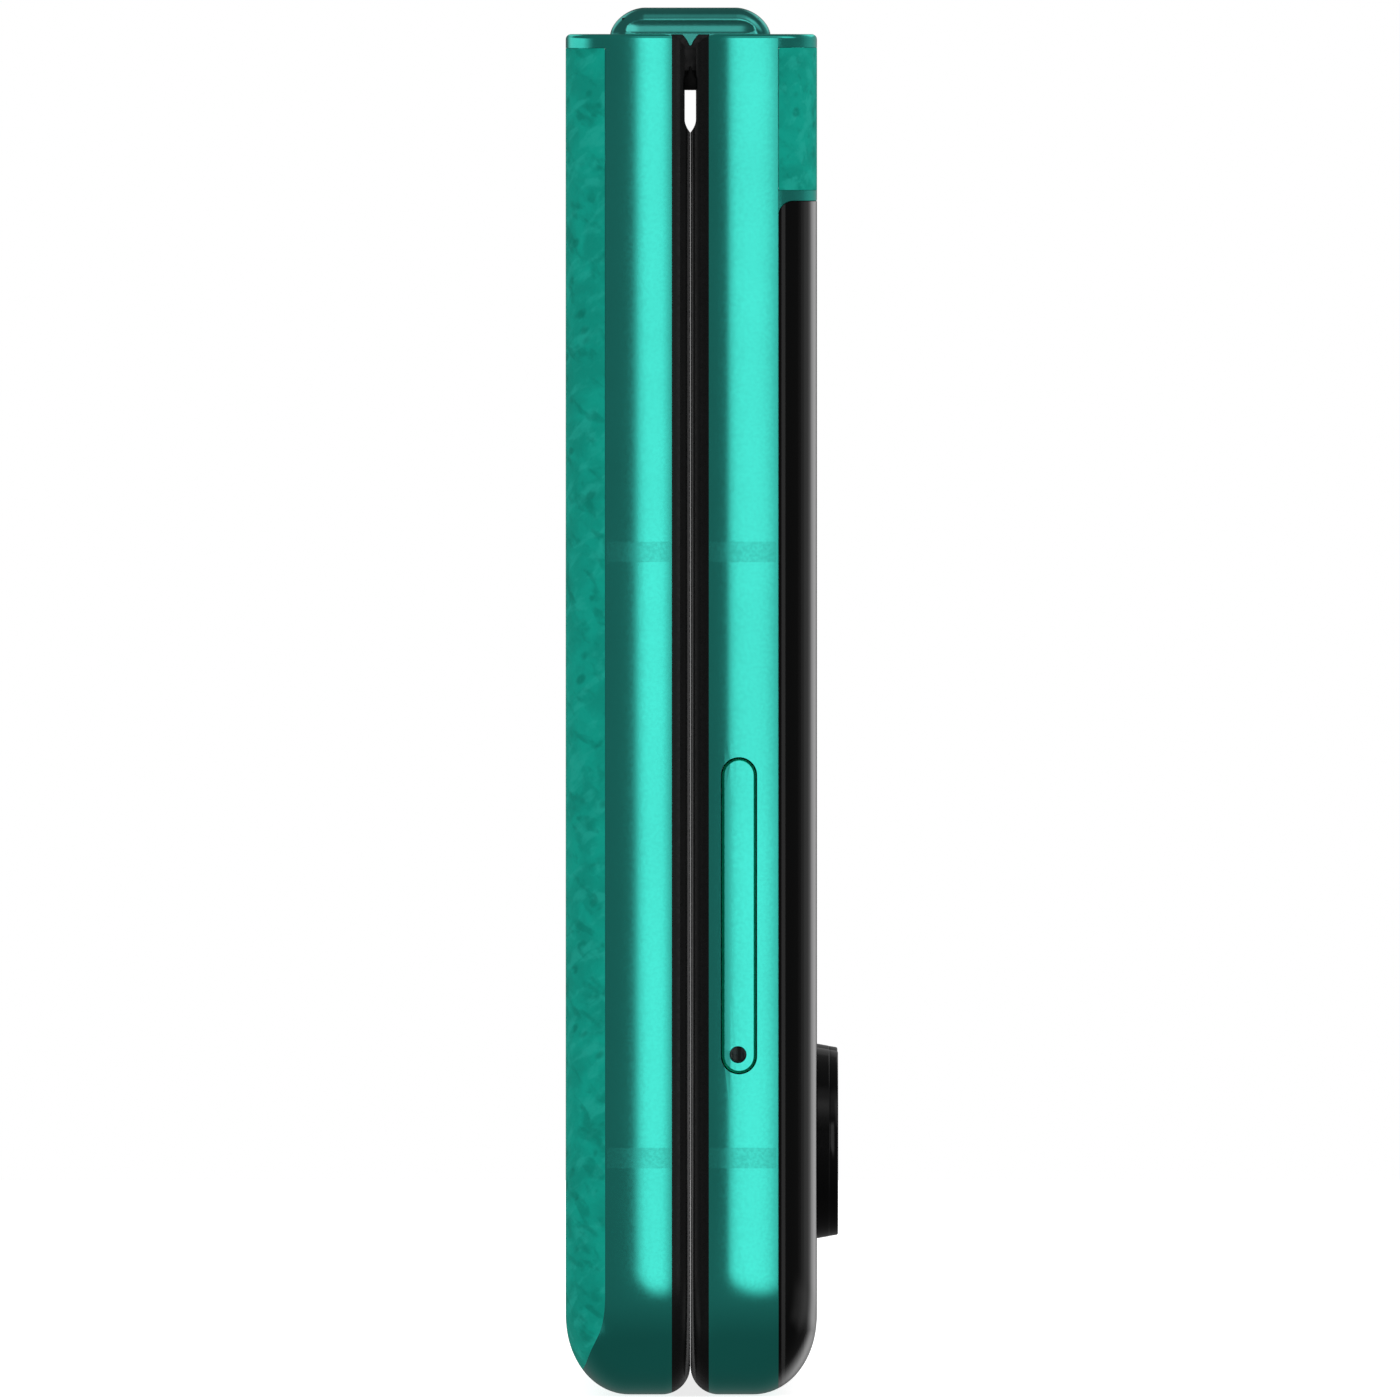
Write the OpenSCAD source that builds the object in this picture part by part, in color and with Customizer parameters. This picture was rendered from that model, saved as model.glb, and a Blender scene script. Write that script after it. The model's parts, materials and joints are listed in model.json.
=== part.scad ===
// Folding phone, closed and standing on its free ends with the hinge on top.
// +Z runs up to the hinge, +X is the outward normal of the cover display,
// +Y is the side with the power key and the volume rocker.

/* [Body] */
// Width of the phone across its long sides
body_w = 74; // [72:0.5:78]
// Height of one half from its free end to its hinge end
half_h = 86.35; // [84:0.05:92]
// Thickness of the main half
main_t = 7.9; // [7.8:0.05:8.4]
// Thickness of the cover half, without the camera rings
cover_t = 8.03; // [7.9:0.05:8.6]
// Gap between the two raised screen rims when closed
rim_gap = 0.1; // [0.08:0.01:0.3]
// Radius of the free-end corners seen from the front
corner_r = 8; // [7:0.5:10]

/* [Hinge] */
// Width of the spine cover across the two halves
spine_w = 10.2; // [9.6:0.1:10.2]
// Height that the spine stands above the hinge ends of the halves
spine_h = 1.75; // [1.5:0.05:1.8]
// Corner radius of the spine cover
spine_r = 1.9; // [1.8:0.1:2.2]
// Distance from the gap plane to each of the two fold axes
axis_x = 1.85; // [1.85:0.01:1.9]

/* [Cameras] */
// Height of the camera rings above the cover glass
ring_h = 1.36; // [1:0.02:2]
// Outer radius of a camera ring
ring_r = 6.07; // [5.6:0.05:6.2]
// Height of the ring centres above the free end
ring_z = 15.86; // [15:0.1:18]
// Sideways place of the first ring
ring_y1 = -23; // [-24:0.5:-22]
// Sideways place of the second ring
ring_y2 = -8; // [-9:0.5:-7.5]

/* [Sides] */
// Width of the card tray face
tray_w = 2.2; // [2:0.05:2.3]
// Length of the card tray face
tray_l = 20; // [18:0.5:20]
// Height of the card tray centre above the free end
tray_z = 30.5; // [30:0.5:34]
// Radius of the eject pin hole
eject_r = 0.5; // [0.4:0.05:0.55]
// Height of the power key centre
power_z = 64; // [62:0.5:66]
// Length of the power key
power_l = 12; // [10:0.5:13]
// Height of the volume rocker centre
volume_z = 41; // [38:0.5:43]
// Length of the volume rocker
volume_l = 20; // [18:0.5:22]
// How far the keys stand proud of the side
key_h = 0.35; // [0.2:0.05:0.5]

/* [Hidden] */
$fn = 64;

metal = [0.16, 0.72, 0.66];
metal_dark = [0.1, 0.42, 0.4];
band = [0.22, 0.7, 0.63];
leather = [0.09, 0.55, 0.48];
black = [0.06, 0.06, 0.07];
glass = [0.02, 0.02, 0.03];
steel = [0.72, 0.73, 0.75];
brass = [0.8, 0.65, 0.3];
board = [0.05, 0.25, 0.18];
cell = [0.15, 0.15, 0.17];

hw = body_w / 2;
u0 = rim_gap / 2;
rim_b = 1.17;                     // depth of the joint between rim and frame
main_seam = main_t - 2.5;         // depth of the leather edge on the side
cover_seam = cover_t - 2.44;      // depth of the glass edge on the side
gap_x = main_t - (main_t + cover_t + ring_h) / 2;
axis_z = half_h - (axis_x - 0.05);
disc_r = axis_x - 0.05;           // the rims stay within this radius of an axis
rec = 0.38;                       // recess of the rims beside the hinge
cav_r = 4.1;                      // radius of the hollow that takes the spine
wall_y = hw - 1.15;               // inner face of the side walls at the hinge
top_z = half_h + spine_h - axis_z;
hinge_z = axis_z - cav_r;
strip_z = 76.45;
glass_z = 75.75;
arm_y = 30.5;

function arc(cx, cy, r, a0, a1, n) =
  [for (i = [0:n]) let (a = a0 + (a1 - a0) * i / n)
    [cx + r * cos(a), cy + r * sin(a)]];
function pw(v, p) = sign(v) * pow(abs(v), p);
function sell(cx, cy, rx, ry, e, a0, a1, n) =
  [for (i = [0:n]) let (a = a0 + (a1 - a0) * i / n)
    [cx + rx * pw(cos(a), 2 / e), cy + ry * pw(sin(a), 2 / e)]];

// extrude a [y, z] outline along X, from u1 to u2
module ext_x(p, u1, u2)
  translate([u1, 0, 0]) rotate([90, 0, 90]) linear_extrude(u2 - u1) polygon(p);
// extrude an [x, z] outline along Y, from y1 to y2
module ext_y(p, y1, y2)
  translate([0, y2, 0]) rotate([90, 0, 0]) linear_extrude(y2 - y1) polygon(p);
module box(x1, x2, y1, y2, z1, z2)
  translate([x1, y1, z1]) cube([x2 - x1, y2 - y1, z2 - z1]);
module cyl_x(y, z, r, x1, x2)
  translate([x1, y, z]) rotate([0, 90, 0]) cylinder(r = r, h = x2 - x1);
module cyl_y(x, z, r, y1, y2)
  translate([x, y2, z]) rotate([90, 0, 0]) cylinder(r = r, h = y2 - y1);
// both sides of the phone
module sides() { children(); mirror([0, 1, 0]) children(); }

// the two halves are drawn with X counted outward from the gap plane
module on_main() translate([gap_x, 0, 0]) mirror([1, 0, 0]) children();
module on_cover() translate([gap_x, 0, 0]) children();
// the spine is drawn about the middle of the two axes
module on_spine() translate([gap_x, 0, axis_z]) children();

// side outline of a half, [u, z]
function side_pts(t) = let (lim = acos((rec - axis_x) / disc_r)) concat(
  arc(u0 + 1.8, 1.8, 1.8, 180, 270, 7),
  sell(t - 3.5, 5.4, 3.5, 5.4, 2.0, 270, 360, 12),
  arc(t - 0.35, half_h - 0.35, 0.35, 0, 90, 3),
  [for (i = [0:6]) let (a = 90 + (lim - 90) * i / 6)
    [axis_x + disc_r * cos(a), axis_z + disc_r * sin(a)]],
  [[rec, half_h - 5.45], [u0, half_h - 6.29]]);
// front outline of a half, [y, z]
function plan_pts() = concat(
  sell(-hw + corner_r, corner_r, corner_r, corner_r, 2.3, 180, 270, 10),
  sell(hw - corner_r, corner_r, corner_r, corner_r, 2.3, 270, 360, 10),
  arc(hw - 0.8, half_h - 0.8, 0.8, 0, 90, 3),
  arc(-hw + 0.8, half_h - 0.8, 0.8, 90, 180, 3));
// cross section of a half across its width, [u, y]
function sec_half(t) = concat(
  arc(u0 + 0.8, hw - 1.0, 0.8, 180, 90, 5),
  [for (i = [1:5]) let (q = -1 + 2 * i / 6)
    [u0 + 0.8 + (t - 2.5 - u0 - 0.8) * i / 6, hw - 0.2 * q * q]],
  sell(t - 2.5, hw - 2.9, 2.5, 2.7, 2.2, 90, 0, 10));
function flip(p) = [for (i = [len(p) - 1:-1:0]) [p[i][0], -p[i][1]]];

// outer shape of a half
module env(t) intersection() {
  ext_y(side_pts(t), -hw - 1, hw + 1);
  ext_x(plan_pts(), -1, t + 1);
  translate([0, 0, -1]) linear_extrude(half_h + 2)
    polygon(concat(sec_half(t), flip(sec_half(t))));
}
// pocket with rounded lower corners, [y, z] outline pushed along X
module pocket(w, z1, z2, r, u1, u2)
  ext_x(concat(sell(-w + r, z1 + r, r, r, 2.2, 180, 270, 6),
    sell(w - r, z1 + r, r, r, 2.2, 270, 360, 6), [[w, z2], [-w, z2]]), u1, u2);
// long hole with round ends, along Y
module stadium_y(u, z, w, l, y1, y2) {
  box(u - w / 2, u + w / 2, y1, y2, z - l / 2 + w / 2, z + l / 2 - w / 2);
  for (s = [-1, 1]) cyl_y(u, z + s * (l - w) / 2, w / 2, y1, y2);
}
// long hole with round ends, lying across, along Z
module stadium_z(u, w, l, z1, z2) {
  box(u - w / 2, u + w / 2, -l / 2 + w / 2, l / 2 - w / 2, z1, z2);
  for (s = [-1, 1]) translate([u, s * (l - w) / 2, z1])
    cylinder(r = w / 2, h = z2 - z1);
}
// flat board with round corners in the Y-Z plane
module plate(u1, u2, y1, y2, z1, z2, r = 1) {
  box(u1, u2, y1 + r, y2 - r, z1, z2);
  box(u1, u2, y1, y2, z1 + r, z2 - r);
  for (y = [y1 + r, y2 - r]) for (z = [z1 + r, z2 - r]) cyl_x(y, z, r, u1, u2);
}

// ---- frames, bands and rims ----------------------------------------------

// seam between the leather back and the frame, [u, z]
main_zone = [[rim_b, -1], [main_t - 0.1, -1], [main_t - 0.6, 0.6],
  [main_t - 1.17, 1.8], [main_t - 1.6, 2.9], [main_t - 2.2, 4.2],
  [main_t - 2.45, 5.4], [main_seam, 6.6], [main_seam, half_h - 0.88],
  [main_t + 1, half_h - 0.88], [main_t + 1, half_h + 1], [rim_b, half_h + 1]];
back_zone = [[main_t - 0.1, -1], [main_t + 2, -1],
  [main_t + 2, half_h - 0.9], [main_seam + 0.02, half_h - 0.9],
  [main_seam + 0.02, 6.6], [main_t - 2.43, 5.4], [main_t - 2.18, 4.2],
  [main_t - 1.58, 2.9], [main_t - 1.15, 1.8], [main_t - 0.58, 0.6]];

module band_cuts(t, d) for (z = [15.15, 53.55])
  box(0.9, t - 2.6, hw - 1.0 - d, hw + 1, z - 0.65 - d, z + 0.65 + d);

// hollow that takes the spine and the fold of the screen
module hinge_hollow() {
  cyl_y(axis_x, axis_z, cav_r, -wall_y, wall_y);
  box(-1, axis_x, -wall_y, wall_y, hinge_z, half_h + 1);
}
module arm_feet_room() sides() {
  box(1.4, 2.6, 27.4, 33.6, hinge_z - 2.4, hinge_z + 1);
  for (y = [28.4, 32.6]) cyl_x(y, hinge_z - 1.2, 0.52, 2, 5);
}

module frame_body(t, seam) difference() {
  union() {
    intersection() { env(t); children(); }
    box(seam - 0.1, t - 0.8, -wall_y + 0.3, wall_y - 0.3, hinge_z - 2.3, half_h - 0.5);
  }
  pocket(34.8, 2.2, hinge_z - 2.2, 6, -1, t - 0.95);
  pocket(35.15, 1.95, hinge_z, 6, -1, 1.5);
  hinge_hollow();
  arm_feet_room();
  sides() band_cuts(t, 0);
}

module main_frame() color(metal) on_main() difference() {
  frame_body(main_t, main_seam) ext_y(main_zone, -hw - 1, hw + 1);
  stadium_z(3.55, 3.3, 9.04, -1, 3);
  for (i = [0:5]) translate([3.3, 14 + i * 2.4, -1]) cylinder(r = 0.6, h = 4);
  translate([3.3, -12, -1]) cylinder(r = 0.35, h = 4);
}
module main_antenna_bands() color(band) on_main() sides() intersection() {
  env(main_t);
  for (z = [15.15, 53.55])
    box(rim_b, main_t - 2.62, hw - 0.98, hw + 1, z - 0.64, z + 0.64);
}
module back_panel() color(leather) on_main() difference() {
  intersection() { env(main_t); ext_y(back_zone, -hw - 1, hw + 1); }
  pocket(35.6, 3.2, half_h, 7, 2, main_t - 0.75);
  hinge_hollow();
}

// raised rim round the inner screen
module rim_body(t) intersection() {
  env(t);
  difference() {
    box(-1, rim_b - 0.02, -hw - 1, hw + 1, -1, half_h + 1);
    pocket(34.1, 2.9, half_h + 2, 5.4, -2, 2);
    pocket(35.1, 2.0, half_h + 2, 6, 0.42, 2);
    box(-2, 3, -wall_y, wall_y, hinge_z, half_h + 2);
  }
}
module main_rim() color(black) on_main() difference() {
  rim_body(main_t);
  for (s = [-1, 1]) cyl_x(s * 35.4, 30, 0.6, -1, 0.22);
  for (s = [-1, 1]) cyl_x(s * 12, 1.6, 0.45, -1, 0.22);
}
module main_bumpers() color([0.12, 0.12, 0.13]) on_main() {
  for (s = [-1, 1]) cyl_x(s * 35.4, 30, 0.58, u0 - 0.01, 0.22);
  for (s = [-1, 1]) cyl_x(s * 12, 1.6, 0.43, u0 - 0.01, 0.22);
}

tray_u = 3.085;
key_u = 3.1;
module cover_zone() {
  box(rim_b, cover_seam, -hw - 1, hw + 1, -1, half_h + 1);
  box(rim_b, cover_t + 1, -hw - 1, hw + 1, half_h - 0.85, half_h + 1);
  box(rim_b, cover_t + 1, -hw - 1, hw + 1, glass_z + 0.05, strip_z);
  // the metal fills the round upper corner of the glass edge
  difference() {
    box(rim_b, cover_seam + 0.93, -hw - 1, hw + 1, glass_z - 0.9, glass_z + 0.1);
    cyl_y(cover_seam + 0.93, glass_z - 0.9, 0.95, -hw - 2, hw + 2);
    box(cover_seam + 0.0, cover_t, -35.42, 35.42, glass_z - 1, glass_z + 0.04);
  }
}
module cover_frame() color(metal) on_cover() difference() {
  union() {
    frame_body(cover_t, cover_seam) cover_zone();
  }
  stadium_y(tray_u, tray_z, tray_w + 0.16, tray_l + 0.16, -hw - 1, -34);
  stadium_y(key_u, power_z, 2.36, power_l + 0.16, 34, hw + 1);
  stadium_y(key_u, power_z, 3.3, power_l + 1.3, 34, 35.55);
  stadium_y(key_u, volume_z, 2.36, volume_l + 0.2, 34, hw + 1);
  stadium_y(key_u, volume_z, 3.3, volume_l + 1.5, 34, 35.55);
  translate([3.3, 10, -1]) cylinder(r = 0.35, h = 4);
}
module cover_antenna_bands() color(band) on_cover() sides() intersection() {
  env(cover_t);
  for (z = [15.15, 53.55])
    box(rim_b, cover_t - 2.62, hw - 0.98, hw + 1, z - 0.64, z + 0.64);
}
module cover_rim() color(black) on_cover() difference() {
  rim_body(cover_t);
  for (s = [-1, 1]) cyl_x(s * 35.4, 60, 0.6, -1, 0.22);
  for (s = [-1, 1]) cyl_x(s * 20, 1.6, 0.45, -1, 0.22);
  box(-1, 0.3, -5, 5, 1.25, 1.75);
}
module cover_bumpers() color([0.12, 0.12, 0.13]) on_cover() {
  for (s = [-1, 1]) cyl_x(s * 35.4, 60, 0.58, u0 - 0.01, 0.22);
  for (s = [-1, 1]) cyl_x(s * 20, 1.6, 0.43, u0 - 0.01, 0.22);
}
module leather_strip() color(leather) on_cover() difference() {
  intersection() {
    env(cover_t);
    box(cover_seam + 0.02, cover_t + 1, -hw - 1, hw + 1, strip_z + 0.02, half_h - 0.87);
  }
  box(2, cover_t - 0.75, -35.6, 35.6, strip_z - 1, half_h);
  hinge_hollow();
}
module cover_glass() color(glass) on_cover() difference() {
  intersection() {
    env(cover_t);
    union() {
      box(cover_seam + 0.03, cover_t + 1, -hw - 1, hw + 1, -1, glass_z - 0.9);
      box(cover_seam + 0.93, cover_t + 1, -hw - 1, hw + 1, glass_z - 1, glass_z);
      cyl_y(cover_seam + 0.93, glass_z - 0.9, 0.9, -hw - 1, hw + 1);
    }
  }
  pocket(35.4, 3.4, glass_z - 0.9, 7, 2, cover_t - 0.72);
  for (y = [ring_y1, ring_y2]) cyl_x(y, ring_z, 5.65, 2, 12);
  cyl_x(3.5, ring_z, 1.95, 2, 12);
}

// ---- inner plates and screens ---------------------------------------------

module midplate_body() difference() {
  union() {
    pocket(34.7, 2.3, hinge_z - 2.45, 5.8, 0.75, 1.45);
    box(0.75, 1.05, -34.7, 34.7, hinge_z - 2.6, hinge_z + 1.6);
    for (z = [20:14:62]) box(1.4, 1.62, -30, 30, z, z + 0.8);
  }
  sides() box(1.05, 2, 27.2, 33.8, hinge_z - 2.6, hinge_z + 2);
}
module main_midplate() color(steel) on_main() midplate_body();
module cover_midplate() color(steel) on_cover() difference() {
  midplate_body();
  cyl_x(0, 7.2, 2.2, -1, 3);
}
module main_display() color(glass) on_main()
  pocket(35.0, 2.1, hinge_z + 1.6, 6, 0.45, 0.72);
module inner_upper_display() color(glass) on_cover() difference() {
  pocket(35.0, 2.1, hinge_z + 1.6, 6, 0.45, 0.72);
  cyl_x(0, 7.2, 1.85, -1, 3);
}
// the fold of the screen: two legs and the arch that joins them
module fold_strip(o, i, y1, y2, z1, zc) difference() {
  union() {
    box(-o, o, y1, y2, z1, zc);
    cyl_y(0, zc, o, y1, y2);
  }
  box(-i, i, y1 - 1, y2 + 1, z1 - 1, zc);
  cyl_y(0, zc, i, y1 - 1, y2 + 1);
}
module display_fold() color(glass) on_spine()
  fold_strip(0.72, 0.45, -35.0, 35.0, -cav_r + 1.62, -1.7);
module hinge_flex() color(brass) on_spine()
  fold_strip(0.9, 0.78, -7, 7, -cav_r + 1.66, -1.7);

// ---- hinge ----------------------------------------------------------------

sec_r = 1.5;                        // pitch radius of the toothed arm
pin_r = 0.6;                        // pitch radius of a sync pinion
sync_z = sqrt(pow(sec_r + pin_r, 2) - pow(axis_x - pin_r, 2));
mesh_a = atan2(sync_z, axis_x - pin_r);

// gear outline with n teeth, of which those numbered a to b are kept
function gear_pts(n, rr, rp, ra, wr, wp, wa, ph, a, b) =
  [for (i = [a:b]) for (q = [[rr, -wr], [rp, -wp], [ra, -wa],
      [ra, wa], [rp, wp], [rr, wr]])
    let (g = ph + 360 / n * i + q[1] / q[0] * 180 / PI)
      [q[0] * cos(g), q[0] * sin(g)]];

// hinge arm of one half; ph is where its teeth start, in the half's own frame
module arm(ph) {
  translate([axis_x, 0, axis_z]) difference() {
    union() {
      cyl_y(0, 0, 1.0, arm_y - 0.5, arm_y + 0.5);
      ext_y(concat([[0, 0]], gear_pts(15, 1.29, sec_r, 1.65, 0.16, 0.115,
        0.05, ph, -1, 4)), arm_y - 0.5, arm_y + 0.5);
      box(-0.6, 0.6, arm_y - 0.5, arm_y + 0.5, -cav_r - 0.05, 0);
    }
    cyl_y(0, 0, 0.48, arm_y - 2, arm_y + 2);
  }
  difference() {
    box(1.42, 2.58, 27.5, 33.5, hinge_z - 2.3, hinge_z);
    for (y = [28.4, 32.6]) cyl_x(y, hinge_z - 1.2, 0.52, 0, 4);
  }
}
module arm_screws() sides() for (y = [28.4, 32.6]) {
  difference() {
    cyl_x(y, hinge_z - 1.2, 0.85, 1.1, 1.42);
    box(1.0, 1.24, y - 0.5, y + 0.5, hinge_z - 1.3, hinge_z - 1.1);
    box(1.0, 1.24, y - 0.1, y + 0.1, hinge_z - 1.7, hinge_z - 0.7);
  }
  cyl_x(y, hinge_z - 1.2, 0.5, 1.4, 4.6);
}
// in a half's own frame the axis direction to its pinion is 180 - mesh_a
module main_hinge_arms() color(steel) on_main() sides() arm(180 - mesh_a - 72);
module cover_hinge_arms() color(steel) on_cover() sides()
  arm(180 - mesh_a - 72 + 12);
module main_arm_screws() color(steel) on_main() arm_screws();
module cover_arm_screws() color(steel) on_cover() arm_screws();

module sync_shaft(s, ph) translate([s * pin_r, 0, sync_z]) {
  cyl_y(0, 0, 0.3, -32.4, 32.4);
  sides() ext_y(gear_pts(6, 0.38, pin_r, 0.75, 0.128, 0.115, 0.045, ph, 0, 5),
    arm_y - 0.45, arm_y + 0.45);
}
module sync_shaft_main() color(steel) on_spine()
  sync_shaft(-1, mesh_a + 180 + 30);
module sync_shaft_cover() color(steel) on_spine() sync_shaft(1, 360 - mesh_a);

// outline with two round upper corners, pushed along Y
module arch(w, z1, z2, r, y1, y2) intersection() {
  union() {
    box(-w, w, y1, y2, z1, z2 - r);
    box(-w + r, w - r, y1, y2, z1, z2);
    for (s = [-1, 1]) cyl_y(s * (w - r), z2 - r, r, y1, y2);
  }
  box(-w - 1, w + 1, y1 - 1, y2 + 1, z1, z2 + 1);
}
// pointed tongue in the middle of each end of the spine, [x, z]
function tongue(d) = [[-0.62 - d, 1.9], [-0.4 - d, 1.66], [-0.2 - d, 1.4 - d],
  [-0.07 - d, 1.12 - d], [0.07 + d, 1.12 - d], [0.2 + d, 1.4 - d], [0.4 + d, 1.66],
  [0.62 + d, 1.9]];
module spine_cover() color(metal_dark) on_spine() difference() {
  ext_y(concat([[spine_w / 2, 1.0]],
    sell(spine_w / 2 - spine_r - 0.3, top_z - spine_r, spine_r + 0.3, spine_r,
      1.8, 0, 90, 10),
    sell(-spine_w / 2 + spine_r + 0.3, top_z - spine_r, spine_r + 0.3, spine_r,
      1.8, 90, 180, 10), [[-spine_w / 2, 1.0]]), -hw + 1.25, hw - 1.25);
  arch(spine_w / 2 - 0.8, 0, top_z - 0.75, spine_r - 0.7, -hw + 1.7, hw - 1.7);
  sides() difference() {
    box(-1.2, 1.2, hw - 1.9, hw - 1, 0.9, 1.78);
    ext_y(tongue(0), hw - 2, hw);
  }
}
module hinge_base() color(black) on_spine() difference() {
  union() {
    arch(3.05, -0.5, top_z - 0.8, 0.5, -hw + 1.75, hw - 1.75);
    sides() {
      for (s = [-1, 1]) for (y = [arm_y - 1.2, arm_y + 0.6])
        cyl_y(s * axis_x, 0, 0.92, y, y + 0.6);
      box(-3.05, 3.05, hw - 1.8, hw - 1.3, -0.5, 0.95);
      for (s = [-1, 1]) cyl_y(s * axis_x, 0, 0.92, hw - 1.8, hw - 1.3);
      difference() {
        box(-1.15, 1.15, hw - 1.8, hw - 1.27, 0.9, 1.73);
        ext_y(tongue(0.04), hw - 2, hw);
      }
    }
  }
  // trough between the hinge modules
  box(-2.4, 2.4, -28.6, 28.6, -2, 2.35);
  box(-3.2, -2.3, -22, 22, -2, 1.6);
  box(2.3, 3.2, -22, 22, -2, 1.6);
  sides() {
    // rooms for the arms and their pinions
    box(-4, 4, arm_y - 0.57, arm_y + 0.57, -2, top_z - 1.0);
    for (s = [-1, 1]) {
      cyl_y(s * axis_x, 0, 0.45, 28, 32.2);
      cyl_y(s * pin_r, sync_z, 0.33, 28, 32.6);
    }
    box(-2.4, 2.4, 32.6, 34.6, -2, 1.3);
  }
}
module hinge_pins() color(steel) on_spine() sides()
  for (s = [-1, 1]) cyl_y(s * axis_x, 0, 0.45, 29.1, 32.1);
module hinge_end_caps() color(black) on_spine() sides() difference() {
  union() {
    box(-0.36, 0.36, hw - 1.3, hw - 0.2, -1.755, 0);
    box(-0.36, 0.36, hw - 1.8, hw - 1.3, -1.755, -0.52);
  }
  for (s = [-1, 1]) cyl_y(s * axis_x, 0, disc_r + 0.02, hw - 3, hw);
  box(-1, 1, hw - 3, hw, -0.25, 1);
}
// stacks of cupped spring washers on the sync shafts
module hinge_springs() color(steel) on_spine() sides()
  for (s = [-1, 1]) for (i = [0:6])
    translate([s * pin_r, 24 + i * 0.6, sync_z]) rotate([90, 0, 0])
      rotate_extrude() polygon([[0.33, 0.1], [0.33, 0], [0.56, 0.3], [0.56, 0.4]]);
module hinge_screws() color(steel) on_spine() sides() for (s = [-1, 1]) {
  translate([s * 1.6, 33.6, 1.1]) cylinder(r = 0.65, h = 0.2);
}

// ---- main half, inside -----------------------------------------------------

module main_battery() color(cell) on_main() {
  plate(1.7, 6.7, -29, 29, 17.5, 75.5, 1.2);
  box(3.2, 4.4, -20, 20, 16.1, 17.5);
}
module usb_board() color(board) on_main() difference() {
  union() {
    plate(5.3, 5.9, -30, 30, 8.4, 15.4, 1);
    plate(5.3, 5.9, -11, 11, 3.6, 9.6, 1);
    box(4.5, 5.3, -8, -2, 11, 15);
    box(5.9, 6.5, 2, 7, 10.5, 14.5);
    box(5.9, 6.3, -18, -12, 10.4, 13.4);
    for (i = [0:7]) box(5.9, 6.15, 9 + i * 1.6, 9.8 + i * 1.6, 11, 12.4);
  }
  for (y = [-27, 27]) cyl_x(y, 12, 0.72, 4, 8);
}
module usb_c_receptacle() color(steel) on_main() {
  difference() {
    stadium_z(3.55, 3.2, 8.94, 0.3, 7.8);
    stadium_z(3.55, 2.6, 8.34, 0, 7.2);
  }
  box(3.2, 3.9, -3.35, 3.35, 1.0, 7.3);
}
module loudspeaker() color(black) on_main() {
  difference() {
    plate(1.75, 5.0, 12.2, 29.5, 4.3, 14.8, 1.5);
    plate(0, 2.1, 13.2, 28.5, 6.4, 13.8, 1);
  }
  box(2.6, 4.0, 13.4, 27.0, 2.9, 4.3);
}
module vibration_motor() color(steel) on_main() {
  plate(1.75, 4.9, -28.5, -17.5, 4.6, 9.0, 0.8);
  box(2.6, 3.6, -17.5, -16.4, 5.6, 8.0);
}
module bottom_microphone() color(brass) on_main() difference() {
  box(2.0, 4.6, -13.8, -10.2, 2.9, 4.9);
  translate([3.3, -12, 2]) cylinder(r = 0.35, h = 1.6);
}
module screw_x(y, z, u, l) {
  difference() {
    cyl_x(y, z, 1.2, u, u + 0.45);
    box(u + 0.25, u + 1, y - 0.75, y + 0.75, z - 0.13, z + 0.13);
    box(u + 0.25, u + 1, y - 0.13, y + 0.13, z - 0.75, z + 0.75);
  }
  cyl_x(y, z, 0.7, u - l, u);
}
module main_board_screws() color(steel) on_main()
  for (y = [-27, 27]) screw_x(y, 12, 5.9, 0.88);

// ---- cover half, inside -----------------------------------------------------

module cover_display_panel() color([0.05, 0.05, 0.06]) on_cover() difference() {
  pocket(33.2, 4.2, glass_z - 1.8, 6, 6.5, cover_t - 0.73);
  for (y = [ring_y1, ring_y2]) cyl_x(y, ring_z, 6.0, 2, 12);
  cyl_x(3.5, ring_z, 2.5, 2, 12);
}
module ring_at(y) translate([cover_t, y, ring_z]) rotate([0, 90, 0]) children();
module camera_rings() color(black) on_cover() for (y = [ring_y1, ring_y2])
  ring_at(y) rotate_extrude($fn = 96) polygon([[4.2, -1.1], [5.6, -1.1],
    [5.6, 0.01], [ring_r, 0.01], [ring_r, 0.76], [ring_r - 0.12, 0.86],
    [ring_r - 0.2, ring_h - 0.12], [ring_r - 0.34, ring_h],
    [4.9, ring_h], [4.5, ring_h - 0.45], [4.2, ring_h - 0.5]]);
module lens_glasses() color(glass) on_cover() for (y = [ring_y1, ring_y2])
  ring_at(y) translate([0, 0, 0.1]) cylinder(r = 4.17, h = 0.66);
module camera_modules() color(black) on_cover() for (y = [ring_y1, ring_y2]) {
  difference() {
    union() {
      plate(1.7, 5.9, y - 4.4, y + 4.4, ring_z - 5.2, ring_z + 3.7, 0.8);
      cyl_x(y, ring_z, 3.6, 5.8, 7.7);
    }
    ring_at(y) translate([0, 0, -1.1]) cylinder(r1 = 1.2, r2 = 2.8, h = 1.1);
  }
}
module flash_lens() color([0.95, 0.93, 0.85]) on_cover()
  cyl_x(3.5, ring_z, 1.92, cover_t - 0.75, cover_t - 0.03);
module flash_led() color([0.95, 0.85, 0.4]) on_cover()
  plate(5.0, 6.2, 2.1, 4.9, ring_z - 1.4, ring_z + 1.4, 0.3);
module cover_battery() color(cell) on_cover() {
  plate(1.7, 5.5, -29.5, 29.5, 47.5, 76.5, 1.2);
  box(3.2, 4.4, -14, 14, 46.2, 47.5);
}
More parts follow.
